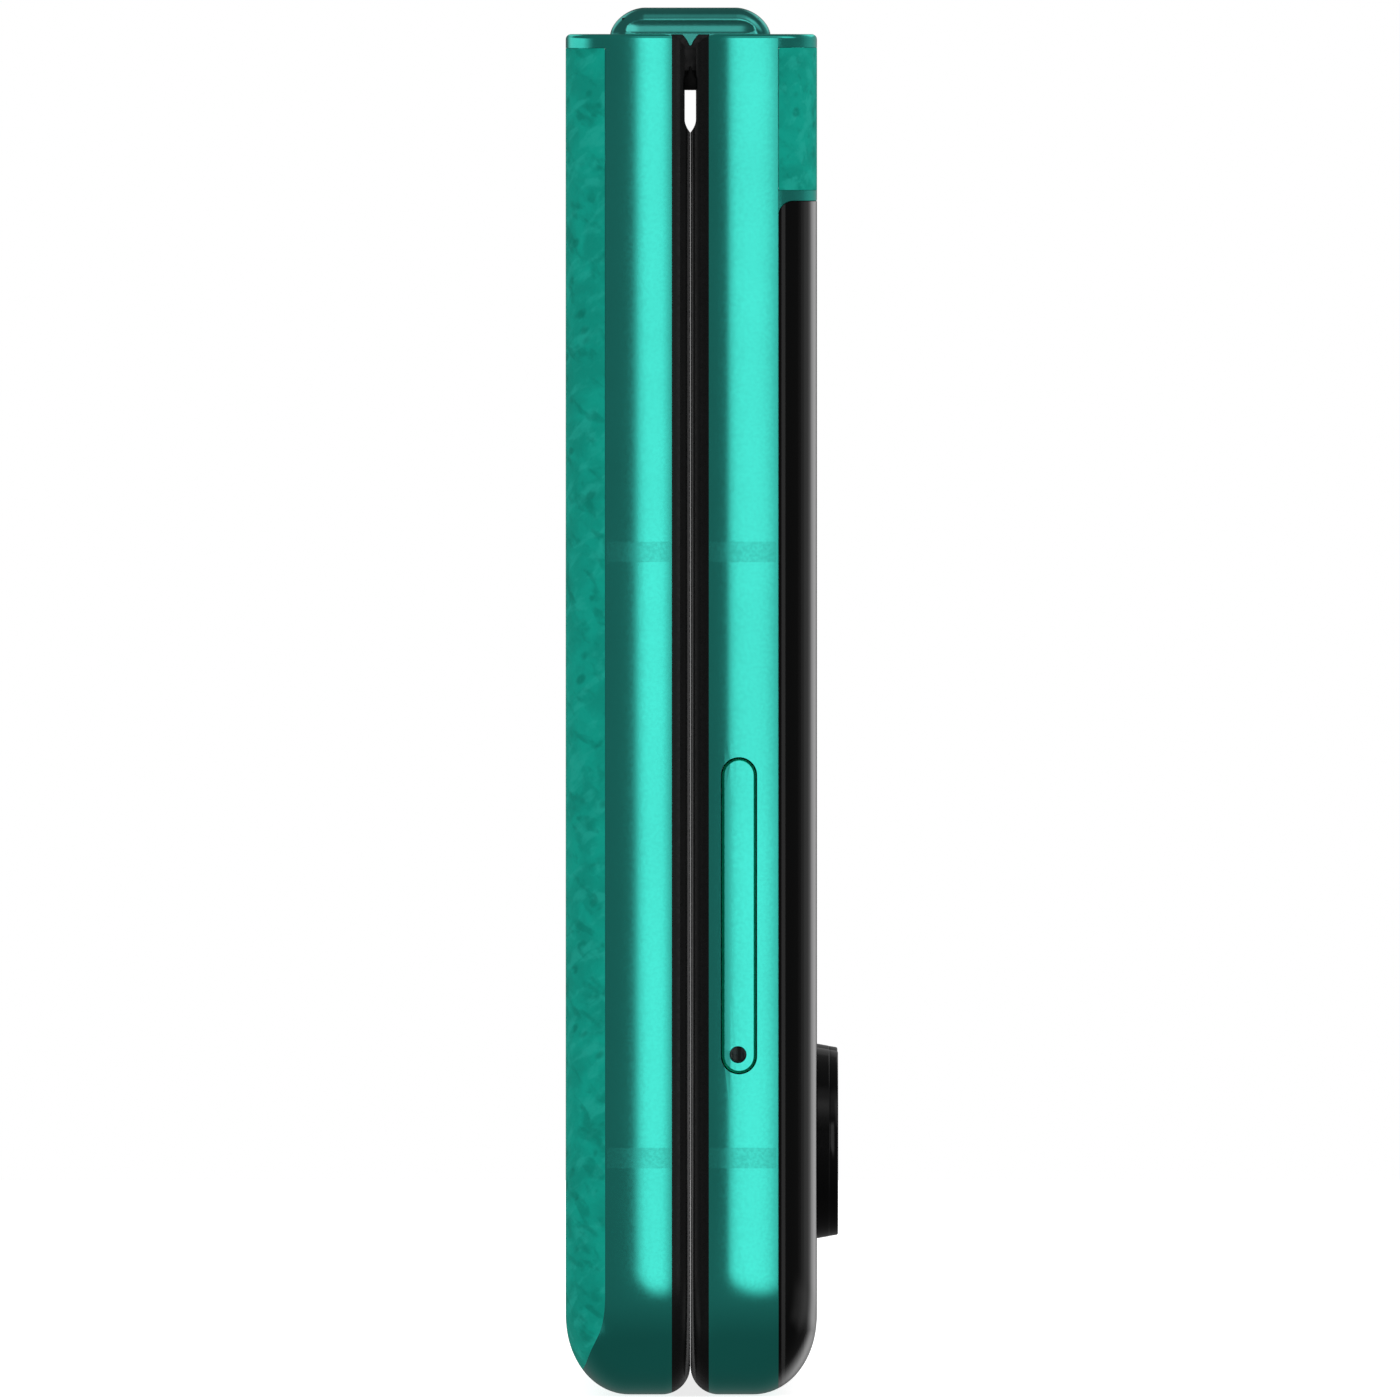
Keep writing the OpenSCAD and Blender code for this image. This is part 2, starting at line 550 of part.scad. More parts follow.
module main_board() color(board) on_cover() difference() {
  union() {
    plate(4.35, 4.95, -32.2, 32.2, 9.4, 45.6, 1.5);
    box(4.95, 5.5, -20, -12, 38, 42);
    box(4.95, 5.4, 20, 27, 12, 17);
  }
  for (y = [ring_y1, ring_y2])
    plate(3, 7, y - 5.5, y + 5.5, ring_z - 5.5, ring_z + 5.5, 0.8);
  plate(3, 7, -4, 4, 3, 11.6, 0.5);
  for (p = [[-29.5, 43], [29.5, 43], [29.5, 12]]) cyl_x(p[0], p[1], 0.72, 3, 8);
}
module board_shields() color(steel) on_cover() {
  difference() { plate(4.95, 6.15, 2, 24, 22, 42, 0.6); plate(4, 6.0, 2.2, 23.8, 22.2, 41.8, 0.5); }
  difference() { plate(4.95, 6.15, -28, -4, 24.5, 37, 0.6); plate(4, 6.0, -27.8, -4.2, 24.7, 36.8, 0.5); }
  difference() { plate(3.2, 4.35, 0, 22, 16, 44, 0.6); plate(3.3, 5, 0.2, 21.8, 16.2, 43.8, 0.5); }
}
module earpiece_speaker() color(black) on_cover() {
  plate(1.75, 4.1, 7, 20, 3.8, 8.6, 0.8);
}
module selfie_camera() color(black) on_cover() difference() {
  union() {
    plate(1.5, 4.2, -3.2, 3.2, 3.9, 10.4, 0.5);
    cyl_x(0, 7.2, 1.8, 0.5, 1.6);
  }
  translate([0.4, 0, 7.2]) rotate([0, 90, 0]) cylinder(r1 = 1.3, r2 = 0.5, h = 0.8);
}
module cover_board_screws() color(steel) on_cover()
  for (p = [[-29.5, 43], [29.5, 43], [29.5, 12]]) screw_x(p[0], p[1], 4.95, 0.98);

// ---- card tray and keys -----------------------------------------------------

module sim_socket() color(steel) on_cover() difference() {
  box(1.95, 4.25, -34.5, -11.5, tray_z - tray_l / 2 - 0.6, tray_z + tray_l / 2 + 0.6);
  box(2.25, 3.95, -36, -12.2, tray_z - tray_l / 2 + 0.3, tray_z + tray_l / 2 - 0.3);
  box(1.6, 2.5, -33, -14, tray_z - 6, tray_z + 6);
}
module sim_tray() color(metal) on_cover() difference() {
  union() {
    intersection() {
      env(cover_t);
      stadium_y(tray_u, tray_z, tray_w, tray_l, -hw - 1, -36.15);
    }
    stadium_y(tray_u, tray_z, tray_w - 0.7, tray_l - 0.7, -36.2, -35.3);
    stadium_y(tray_u, tray_z, tray_w - 0.1, tray_l - 0.1, -35.35, -34.7);
    box(2.55, 3.6, -34.9, -13.2, tray_z - 8.9, tray_z + 8.9);
  }
  cyl_y(tray_u - 0.06, tray_z - 8.8, eject_r, -hw - 1, -34);
  plate(2.4, 3.4, -32.6, -20.3, tray_z - 7.8, tray_z + 7.8, 0.6);
  plate(2.95, 4, -30, -15, tray_z - 5, tray_z + 7.8, 0.6);
  box(2.5, 3.7, -34, -12, tray_z - 9.5, tray_z - 8.1);
}
module sim_tray_gasket() color([0.1, 0.1, 0.1]) on_cover() difference() {
  stadium_y(tray_u, tray_z, tray_w + 0.06, tray_l + 0.06, -36.1, -35.4);
  stadium_y(tray_u, tray_z, tray_w - 0.68, tray_l - 0.68, -37, -35);
  cyl_y(tray_u - 0.06, tray_z - 8.8, eject_r, -hw - 1, -34);
}
module power_key() color(metal) on_cover() {
  stadium_y(key_u, power_z, 2.16, power_l, 35.3, hw + key_h - 0.12);
  stadium_y(key_u, power_z, 1.92, power_l - 0.24, hw, hw + key_h);
  stadium_y(key_u, power_z, 2.9, power_l + 0.9, 35.0, 35.45);
}
module volume_rocker() color(metal) on_cover() {
  stadium_y(key_u, volume_z, 2.16, volume_l, 35.15, hw + key_h - 0.12);
  stadium_y(key_u, volume_z, 1.92, volume_l - 0.24, hw, hw + key_h);
  stadium_y(key_u, volume_z, 2.9, volume_l + 0.9, 34.85, 35.2);
}
module key_switches() color(brass) on_cover() {
  box(2.2, 4.0, 33.9, 34.15, 30, 70);
  for (z = [power_z, volume_z - 7, volume_z + 7])
    cyl_y(key_u, z, 0.8, 34.1, 34.4);
}

back_panel();
main_frame();
main_antenna_bands();
main_rim();
main_midplate();
main_display();
main_battery();
usb_board();
usb_c_receptacle();
loudspeaker();
vibration_motor();
bottom_microphone();
main_bumpers();
main_hinge_arms();
main_arm_screws();
main_board_screws();
spine_cover();
hinge_base();
hinge_end_caps();
hinge_pins();
hinge_springs();
hinge_screws();
display_fold();
hinge_flex();
sync_shaft_main();
sync_shaft_cover();
cover_frame();
cover_antenna_bands();
leather_strip();
cover_glass();
cover_display_panel();
camera_rings();
lens_glasses();
camera_modules();
flash_lens();
flash_led();
cover_rim();
cover_midplate();
inner_upper_display();
cover_battery();
main_board();
board_shields();
earpiece_speaker();
selfie_camera();
cover_bumpers();
cover_hinge_arms();
cover_arm_screws();
cover_board_screws();
sim_socket();
key_switches();
sim_tray();
sim_tray_gasket();
power_key();
volume_rocker();
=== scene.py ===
import json
import math
import bpy
import bmesh
import numpy as np
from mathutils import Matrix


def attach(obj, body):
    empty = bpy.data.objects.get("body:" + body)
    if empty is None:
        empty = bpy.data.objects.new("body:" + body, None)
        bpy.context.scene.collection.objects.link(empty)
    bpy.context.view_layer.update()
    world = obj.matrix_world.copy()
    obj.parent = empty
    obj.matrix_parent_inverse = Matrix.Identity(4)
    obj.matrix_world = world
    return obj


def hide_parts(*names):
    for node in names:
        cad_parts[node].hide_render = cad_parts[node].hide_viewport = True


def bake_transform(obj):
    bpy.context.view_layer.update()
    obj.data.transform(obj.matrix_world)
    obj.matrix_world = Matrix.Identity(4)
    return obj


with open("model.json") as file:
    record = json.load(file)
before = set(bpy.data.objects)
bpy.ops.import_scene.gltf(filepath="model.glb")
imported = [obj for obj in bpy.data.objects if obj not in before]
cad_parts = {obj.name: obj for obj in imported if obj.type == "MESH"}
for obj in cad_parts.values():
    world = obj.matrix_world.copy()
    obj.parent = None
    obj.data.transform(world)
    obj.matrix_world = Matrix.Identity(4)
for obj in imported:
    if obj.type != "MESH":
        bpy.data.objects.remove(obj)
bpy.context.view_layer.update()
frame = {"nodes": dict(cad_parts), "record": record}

scene = bpy.context.scene
MM = 0.001

# ---------------------------------------------------------------- dimensions (mm)
HW, HH = 37.0, 86.35
MT, CT = 7.9, 8.03
U0 = 0.006
GX = -0.745
AX, AZ, DR = 1.85, 84.55, 1.8
REC = 0.36
CAV, WY = 4.1, 35.85
RIM = 1.17
HZ = AZ - CAV
MSEAM, CSEAM = MT - 2.5, CT - 2.44
STRIP_Z, GLASS_Z = 76.45, 75.75
RING_Z, RING_Y, RING_H, RING_R = 15.86, (-23.0, -8.0), 1.36, 6.07
TRAY_U, TRAY_W, TRAY_L, TRAY_Z = 3.085, 2.2, 20.0, 30.5
KEY_U, KEY_H = 3.1, 0.35
BANDS = (15.15, 53.55)

# ---------------------------------------------------------------- mesh helpers


def mesh_of(verts, faces, name="m"):
    me = bpy.data.meshes.new(name)
    me.from_pydata([tuple(v) for v in verts], [], [tuple(f) for f in faces])
    bm = bmesh.new()
    bm.from_mesh(me)
    bmesh.ops.recalc_face_normals(bm, faces=bm.faces)
    if bm.calc_volume(signed=True) < 0:
        bmesh.ops.reverse_faces(bm, faces=bm.faces)
    bm.to_mesh(me)
    bm.free()
    return me


def prism(poly, a, b, axis):
    """A closed outline pushed along an axis. axis x: [y, z] outline; y: [x, z]; z: [x, y]."""
    n = len(poly)

    def at(p, h):
        return {"x": (h, p[0], p[1]), "y": (p[0], h, p[1]), "z": (p[0], p[1], h)}[axis]
    verts = [at(p, a) for p in poly] + [at(p, b) for p in poly]
    faces = [list(range(n))[::-1], list(range(n, 2 * n))]
    faces += [[i, (i + 1) % n, (i + 1) % n + n, i + n] for i in range(n)]
    return mesh_of(verts, faces)


def box(x1, x2, y1, y2, z1, z2):
    return prism([(x1, y1), (x2, y1), (x2, y2), (x1, y2)], z1, z2, "z")


def arc(cx, cy, r, a0, a1, n, ry=None):
    ry = r if ry is None else ry
    return [(cx + r * math.cos(math.radians(a0 + (a1 - a0) * i / n)),
             cy + ry * math.sin(math.radians(a0 + (a1 - a0) * i / n))) for i in range(n + 1)]


def circle(cx, cy, r, n=48):
    return arc(cx, cy, r, 0, 360 - 360 / n, n - 1)


def sell(cx, cy, rx, ry, e, a0, a1, n):
    out = []
    for i in range(n + 1):
        a = math.radians(a0 + (a1 - a0) * i / n)
        c, s = math.cos(a), math.sin(a)
        out.append((cx + rx * math.copysign(abs(c) ** (2 / e), c),
                    cy + ry * math.copysign(abs(s) ** (2 / e), s)))
    return out


def cyl_x(y, z, r, x1, x2, n=48):
    return prism(circle(y, z, r, n), x1, x2, "x")


def cyl_y(x, z, r, y1, y2, n=64):
    return prism(circle(x, z, r, n), y1, y2, "y")


def cyl_z(x, y, r, z1, z2, n=48):
    return prism(circle(x, y, r, n), z1, z2, "z")


def stadium(cu, cv, w, l, n=24):
    """Outline of a slot, w across the first axis and l along the second."""
    r = w / 2
    return (arc(cu, cv + l / 2 - r, r, 0, 180, n) + arc(cu, cv - l / 2 + r, r, 180, 360, n))


def rounded(x1, x2, y1, y2, r, n=10):
    return (arc(x2 - r, y1 + r, r, 270, 360, n) + arc(x2 - r, y2 - r, r, 0, 90, n)
            + arc(x1 + r, y2 - r, r, 90, 180, n) + arc(x1 + r, y1 + r, r, 180, 270, n))


def pocket(w, z1, z2, r, u1, u2, n=16):
    return prism(sell(-w + r, z1 + r, r, r, 2.2, 180, 270, n)
                 + sell(w - r, z1 + r, r, r, 2.2, 270, 360, n) + [(w, z2), (-w, z2)], u1, u2, "x")


def boolean(a, b, op):
    oa = bpy.data.objects.new("op_a", a)
    ob = bpy.data.objects.new("op_b", b)
    scene.collection.objects.link(oa)
    scene.collection.objects.link(ob)
    mod = oa.modifiers.new("b", "BOOLEAN")
    mod.operation = op
    mod.solver = "MANIFOLD"
    mod.object = ob
    deps = bpy.context.evaluated_depsgraph_get()
    out = bpy.data.meshes.new_from_object(oa.evaluated_get(deps), depsgraph=deps)
    bpy.data.objects.remove(oa)
    bpy.data.objects.remove(ob)
    return out


def cut(a, *bs):
    for b in bs:
        a = boolean(a, b, "DIFFERENCE")
    return a


def meet(a, *bs):
    for b in bs:
        a = boolean(a, b, "INTERSECT")
    return a


def join(a, *bs):
    for b in bs:
        a = boolean(a, b, "UNION")
    return a


def mirrored_y(me):
    out = me.copy()
    bm = bmesh.new()
    bm.from_mesh(out)
    for v in bm.verts:
        v.co.y = -v.co.y
    bmesh.ops.reverse_faces(bm, faces=bm.faces)
    bm.to_mesh(out)
    bm.free()
    return out


PIECES = {}


def piece(name, me, side, body, slot, *nodes, sharp=32, bevel=0.0, seg=2, ride=True, limit=40, weighted=True):
    """Puts a mesh that was made in millimetres into the row frame and gives it to its body.
    side main and cover count X outward from the gap plane, spine from the middle of the axes."""
    bm = bmesh.new()
    bm.from_mesh(me)
    bmesh.ops.remove_doubles(bm, verts=bm.verts, dist=0.0008)
    bmesh.ops.dissolve_degenerate(bm, edges=bm.edges, dist=0.0008)
    for v in bm.verts:
        u, y, z = v.co
        if side == "main":
            v.co = (GX - u, y, z)
        elif side == "cover":
            v.co = (GX + u, y, z)
        elif side == "spine":
            v.co = (GX + u, y, AZ + z)
    if side == "main":
        bmesh.ops.reverse_faces(bm, faces=bm.faces)
    for v in bm.verts:
        v.co *= MM
    for f in bm.faces:
        f.smooth = True
    out = bpy.data.meshes.new(name)
    bm.to_mesh(out)
    bm.free()
    o = bpy.data.objects.new(name, out)
    scene.collection.objects.link(o)
    if bevel:
        mod = o.modifiers.new("edge", "BEVEL")
        mod.width, mod.segments, mod.limit_method = bevel * MM, seg, "ANGLE"
        mod.angle_limit = math.radians(limit)
        mod.use_clamp_overlap = True
        mod.miter_outer = "MITER_ARC"
        bake(o)
    o.data.set_sharp_from_angle(angle=math.radians(sharp))
    if weighted:
        mod = o.modifiers.new("normals", "WEIGHTED_NORMAL")
        mod.keep_sharp = True
        mod.weight = 60
        bake(o)
    if ride:
        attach(o, body)
    if nodes:
        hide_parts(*nodes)
    PIECES[name] = o
    o["slot_name"] = slot
    return o


def bake(o):
    deps = bpy.context.evaluated_depsgraph_get()
    new = bpy.data.meshes.new_from_object(o.evaluated_get(deps), depsgraph=deps)
    o.modifiers.clear()
    old = o.data
    new.name = o.name
    o.data = new
    bpy.data.meshes.remove(old)


# ---------------------------------------------------------------- outer shape of a half


def s_inset(u, t, apex):
    """How far the long sides stand inside the half width, at depth u."""
    lo, hi = U0 + 0.8, t - 2.5
    if u < lo:
        d = 0.8 - (u - U0)
        return 0.2 + 0.8 - math.sqrt(max(0.8 ** 2 - d * d, 0))
    if u > hi:
        q = min((u - hi) / 2.5, 1.0)
        k = 0.4 / (hi - apex)
        return 0.2 + 2.5 * k * q + (2.7 - 2.5 * k) * (1 - (1 - q ** 2.2) ** (1 / 2.2))
    q = (u - apex) / (hi - apex) if u > apex else (apex - u) / (apex - lo)
    return 0.2 * q * q


def e_inset(u, t):
    """The same for the free end."""
    if u < U0 + 1.8:
        d = 1.8 - (u - U0)
        return 1.8 - math.sqrt(max(1.8 ** 2 - d * d, 0))
    if u > t - 4.05:
        q = min((u - t + 4.05) / 4.05, 1.0)
        return 5.0 * (1 - (1 - q ** 2.04) ** (1 / 2.04))
    return 0.0


def u_samples(t):
    us = [U0 + 1.8 * (1 - math.cos(math.pi / 2 * i / 16)) for i in range(17)]
    us += [U0 + 0.8 * (1 - math.cos(math.pi / 2 * i / 8)) for i in range(9)]
    us += [U0 + 1.8 + (t - 4.05 - U0 - 1.8) * i / 6 for i in range(7)]
    us += [t - 4.05 + 4.05 * math.cos(math.pi / 2 * i / 24) ** (1 / 1.02) for i in range(25)]
    us += [t - 2.5 + 2.5 * math.cos(math.pi / 2 * i / 16) ** (1 / 1.1) for i in range(17)]
    us = sorted(us)
    out = [us[0]]
    for u in us[1:]:
        if u - out[-1] > 0.012:
            out.append(u)
    out[-1] = t
    return out


def plan_path():
    """Down the left side, round the free end and up the right side: (y, z, ny, nz, blend)."""
    pts = []
    c, r, e = 8.0, 8.0, 2.3

    def corner(n):
        res = []
        for i in range(n + 1):
            a = math.pi / 2 * i / n
            x, y = math.cos(a) ** (2 / e), math.sin(a) ** (2 / e)
            nx, ny = x ** (e - 1), y ** (e - 1)
            L = math.hypot(nx, ny)
            res.append((x * r, y * r, nx / L, ny / L))
        return res
    zs = [85.75, 85.2, 84.4, 83.0, 81.0] + [78.0 - 4.0 * i for i in range(18)]
    zs = [z for z in zs if z > c + 0.5]
    re = 0.32
    over = [(HW - re + re * math.cos(math.pi / 2 * i / 12), HH - re + re * math.sin(math.pi / 2 * i / 12))
            for i in range(12, -1, -1)]
    for y, z in over:
        pts.append((-y, z, -1.0, 0.0, 0.0))
    for z in zs:
        pts.append((-HW, z, -1.0, 0.0, 0.0))
    cor = corner(34)
    for x, y, nx, ny in cor:
        f = math.degrees(math.atan2(ny, nx)) / 90
        pts.append((-HW + c - x, c - y, -nx, -ny, f * f * (3 - 2 * f)))
    for i in range(1, 12):
        pts.append((-HW + c + (2 * HW - 2 * c) * i / 12, 0.0, 0.0, -1.0, 1.0))
    for x, y, nx, ny in cor[::-1]:
        f = math.degrees(math.atan2(ny, nx)) / 90
        pts.append((HW - c + x, c - y, nx, -ny, f * f * (3 - 2 * f)))
    for z in zs[::-1]:
        pts.append((HW, z, 1.0, 0.0, 0.0))
    for y, z in over[::-1]:
        pts.append((y, z, 1.0, 0.0, 0.0))
    return pts


def side_outline(t):
    lim = math.degrees(math.acos((REC - AX) / DR))
    e = 0.001
    pts = [(t + e, -5), *arc(t - 0.35, HH - 0.35, 0.35 + e, 0, 90, 8)]
    pts += arc(AX, AZ, DR, 90, lim, 24)
    zb, zt = HH - 6.29, HH - 5.45
    for i in range(11):
        q = i / 10
        pts.append((U0 + (REC - U0) * (1 - q ** 1.9), zt + (zb - zt) * q))
    pts += [(U0 - 1.0, zb - 3.2), (U0 - 1.0, -5)]
    return pts


def envelope(t, apex):
    path, us = plan_path(), u_samples(t)
    n, m = len(path), len(us)
    verts = []
    for (y, z, ny, nz, b) in path:
        for u in us:
            d = s_inset(u, t, apex) * (1 - b) + e_inset(u, t) * b
            verts.append((u, y - ny * d, z - nz * d))
    faces = []
    for i in range(n - 1):
        for k in range(m - 1):
            faces.append((i * m + k, i * m + k + 1, (i + 1) * m + k + 1, (i + 1) * m + k))
    faces.append([i * m for i in range(n)])                       # inner face
    faces.append([i * m + m - 1 for i in range(n)][::-1])         # outer face
    faces.append([k for k in range(m)][::-1] + [(n - 1) * m + k for k in range(m)])  # hinge end
    raw = mesh_of(verts, faces)
    return meet(raw, prism(side_outline(t), -HW - 2, HW + 2, "y"))


ENV_M = envelope(MT, 3.2)
ENV_C = envelope(CT, 2.55)

# ---------------------------------------------------------------- frames, bands, rims, skins


def band_cuts(t, d):
    return [box(0.9, t - 2.6, (HW - 1.0 - d) * s if s > 0 else -HW - 1, HW + 1 if s > 0 else -(HW - 1.0 - d),
                z - 0.65 - d, z + 0.65 + d) for z in BANDS for s in (1, -1)]


def hinge_hollow():
    return join(cyl_y(AX, AZ, CAV, -WY, WY, 96), box(-1, AX, -WY, WY, HZ, HH + 1))


def frame_body(env, zone, t, seam):
    a = meet(env, zone)
    a = join(a, box(seam - 0.1, t - 0.8, -WY + 0.3, WY - 0.3, HZ - 2.3, HH - 0.5))
    return cut(a, pocket(34.8, 2.2, HZ - 2.2, 6, -1, t - 0.95), pocket(35.15, 1.95, HZ, 6, -1, 1.5),
               hinge_hollow(), *band_cuts(t, 0))


def seam_line(t):
    """The edge where the leather meets the metal, drawn as one smooth curve."""
    ctrl = [(t - 0.1, -1.0), (t - 0.6, 0.6), (t - 1.17, 1.8), (t - 1.6, 2.9), (t - 2.2, 4.2),
            (t - 2.45, 5.4), (t - 2.5, 6.6)]
    out = []
    for i in range(len(ctrl) - 1):
        p0 = ctrl[max(i - 1, 0)]
        p1, p2 = ctrl[i], ctrl[i + 1]
        p3 = ctrl[min(i + 2, len(ctrl) - 1)]
        for k in range(4):
            s = k / 4
            out.append(tuple(0.5 * (2 * p1[j] + (p2[j] - p0[j]) * s
                                    + (2 * p0[j] - 5 * p1[j] + 4 * p2[j] - p3[j]) * s * s
                                    + (3 * p1[j] - p0[j] - 3 * p2[j] + p3[j]) * s ** 3) for j in (0, 1)))
    out.append(ctrl[-1])
    return out


SEAM = seam_line(MT)
main_zone = prism([(RIM, -1)] + SEAM + [(MSEAM, HH - 0.88), (MT + 1, HH - 0.88), (MT + 1, HH + 1),
                                        (RIM, HH + 1)], -HW - 1, HW + 1, "y")
m_frame = frame_body(ENV_M, main_zone, MT, MSEAM)
m_frame = cut(m_frame, prism(stadium(3.55, 0, 3.3, 9.04), -1, 3, "z"),
              *[cyl_z(3.3, 14 + i * 2.4, 0.6, -1, 3, 32) for i in range(6)], cyl_z(3.3, -12, 0.35, -1, 3, 24))
piece("main_frame_shell", m_frame, "main", "main_half", "frame_metal", "main_frame", sharp=30)

back_zone = prism([(MT - 0.08, -1), (MT + 2, -1), (MT + 2, HH - 0.9), (MSEAM + 0.02, HH - 0.9)]
                  + [(p[0] - 0.001, p[1]) for p in SEAM[::-1]], -HW - 1, HW + 1, "y")
m_back = cut(meet(ENV_M, back_zone), pocket(35.6, 3.2, HH, 7, 2, MT - 0.75), hinge_hollow())
piece("back_panel_leather", m_back, "main", "main_half", "leather", "back_panel", sharp=30)


def bands(env, t):
    return [meet(env, box(RIM, t - 2.601, (HW - 0.98) if s > 0 else -HW - 1, HW + 1 if s > 0 else -(HW - 0.98),
                          z - 0.6492, z + 0.6492)) for z in BANDS for s in (1, -1)]


def merged(meshes):
    bm = bmesh.new()
    for me in meshes:
        bm.from_mesh(me)
    out = bpy.data.meshes.new("merged")
    bm.to_mesh(out)
    bm.free()
    return out


piece("main_bands", merged(bands(ENV_M, MT)), "main", "main_half", "antenna_band", "main_antenna_bands")


def rim_body(env):
    return meet(env, cut(box(-1, RIM + 0.002, -HW - 1, HW + 1, -1, HH + 1),
                         pocket(34.1, 2.9, HH + 2, 5.4, -2, 2, 24), pocket(35.1, 2.0, HH + 2, 6, 0.42, 2, 24),
                         box(-2, 3, -WY, WY, HZ, HH + 2)))


m_rim = cut(rim_body(ENV_M), *[cyl_x(s * 35.4, 30, 0.6, -1, 0.22) for s in (1, -1)],
            *[cyl_x(s * 12, 1.6, 0.45, -1, 0.22, 32) for s in (1, -1)])
piece("main_rim_moulding", m_rim, "main", "main_half", "rim_black", "main_rim", sharp=30)

# cover half
fill = cut(box(RIM, CSEAM + 0.93, -HW - 1, HW + 1, GLASS_Z - 0.9, GLASS_Z + 0.1),
           cyl_y(CSEAM + 0.93, GLASS_Z - 0.9, 0.95, -HW - 2, HW + 2, 96),
           box(CSEAM, CT, -35.42, 35.42, GLASS_Z - 1, GLASS_Z + 0.04))
cover_zone = join(box(RIM, CSEAM, -HW - 1, HW + 1, -1, HH + 1),
                  box(RIM, CT + 1, -HW - 1, HW + 1, HH - 0.85, HH + 1),
                  box(RIM, CT + 1, -HW - 1, HW + 1, GLASS_Z + 0.05, STRIP_Z), fill)
c_frame = frame_body(ENV_C, cover_zone, CT, CSEAM)
c_frame = cut(c_frame, prism(stadium(TRAY_U, TRAY_Z, TRAY_W + 0.1, TRAY_L + 0.1), -HW - 1, -34, "y"),
              cyl_z(3.3, 10, 0.35, -1, 3, 24))
for zc, ln, fl, cl in ((64.0, 12.0, 1.3, 0.16), (41.0, 20.0, 1.5, 0.2)):
    c_frame = cut(c_frame, prism(stadium(KEY_U, zc, 2.36, ln + cl), 34, HW + 1, "y"),
                  prism(stadium(KEY_U, zc, 3.3, ln + fl), 34, 35.55, "y"))
piece("cover_frame_shell", c_frame, "cover", "cover_half", "frame_metal", "cover_frame", sharp=30)
piece("cover_bands", merged(bands(ENV_C, CT)), "cover", "cover_half", "antenna_band", "cover_antenna_bands")
c_rim = cut(rim_body(ENV_C), *[cyl_x(s * 35.4, 60, 0.6, -1, 0.22) for s in (1, -1)],
            *[cyl_x(s * 20, 1.6, 0.45, -1, 0.22, 32) for s in (1, -1)], box(-1, 0.3, -5, 5, 1.25, 1.75))
piece("cover_rim_moulding", c_rim, "cover", "cover_half", "rim_black", "cover_rim", sharp=30)
c_strip = cut(meet(ENV_C, box(CSEAM + 0.02, CT + 1, -HW - 1, HW + 1, STRIP_Z + 0.02, HH - 0.87)),
              box(2, CT - 0.75, -35.6, 35.6, STRIP_Z - 1, HH), hinge_hollow())
piece("leather_strip_skin", c_strip, "cover", "cover_half", "leather", "leather_strip", sharp=30)
glass_zone = join(box(CSEAM - 0.001, CT + 1, -HW - 1, HW + 1, -1, GLASS_Z - 0.9),
                  box(CSEAM + 0.93, CT + 1, -HW - 1, HW + 1, GLASS_Z - 1, GLASS_Z),
                  cyl_y(CSEAM + 0.93, GLASS_Z - 0.9, 0.9, -HW - 1, HW + 1, 96))
c_glass = cut(meet(ENV_C, glass_zone), pocket(35.4, 3.4, GLASS_Z - 0.9, 7, 2, CT - 0.72),
              *[cyl_x(y, RING_Z, 5.65, 2, 12, 96) for y in RING_Y], cyl_x(3.5, RING_Z, 1.95, 2, 12, 64))
piece("cover_glass_plate", c_glass, "cover", "cover_half", "cover_glass", "cover_glass", sharp=30)

# ---------------------------------------------------------------- lathes, cameras, flash


def lathe(profile, n=128):
    """profile: closed list of (radius, height); returns a ring, or a solid where radius reaches 0."""
    verts, faces, rows = [], [], []
    for r, h in profile:
        if r < 1e-6:
            verts.append((h, 0.0, 0.0))
            rows.append([len(verts) - 1] * n)
        else:
            rows.append(list(range(len(verts), len(verts) + n)))
            for i in range(n):
                a = 2 * math.pi * i / n
                verts.append((h, r * math.cos(a), r * math.sin(a)))
    m = len(profile)
    for j in range(m):
        a, b = rows[j], rows[(j + 1) % m]
        if a[0] == a[1] and b[0] == b[1]:
            continue
        for i in range(n):
            k = (i + 1) % n
            f = []
            for v in (a[i], a[k], b[k], b[i]):
                if v not in f:
                    f.append(v)
            if len(f) > 2:
                faces.append(f)
    return mesh_of(verts, faces)


def placed(me, x, y, z):
    out = me.copy()
    bm = bmesh.new()
    bm.from_mesh(out)
    for v in bm.verts:
        v.co.x += x
        v.co.y += y
        v.co.z += z
    bm.to_mesh(out)
    bm.free()
    return out


R = RING_R
H1 = RING_H
ring_prof = [(4.2, -1.1), (5.6, -1.1), (5.6, 0.012), (R - 0.03, 0.012), (R, 0.04), (R - 0.13, 0.78), (R - 0.15, 0.80),
             (R - 0.155, 0.83), (R - 0.15, 0.85), (R - 0.22, H1 - 0.10), (R - 0.235, H1 - 0.05),
             (R - 0.27, H1 - 0.015), (R - 0.34, H1), (5.36, H1), (5.33, H1 - 0.03), (5.30, H1 - 0.03), (5.27, H1),
             (4.98, H1), (4.9, H1 - 0.03), (4.62, H1 - 0.34), (4.57, H1 - 0.38), (4.5, H1 - 0.40), (4.47, H1 - 0.44),
             (4.22, H1 - 0.49), (4.2, H1 - 0.52)]
ring = lathe(ring_prof, 160)
piece("camera_ring_pair", merged([placed(ring, CT, y, RING_Z) for y in RING_Y]), "cover", "cover_half", "ring_metal",
      "camera_rings", sharp=26)
lens_prof = [(0, 0.1), (4.1, 0.1), (4.165, 0.16), (4.165, 0.66), (4.13, 0.70), (3.9, 0.728), (3.0, 0.745), (1.5, 0.757),
             (0, 0.76)]
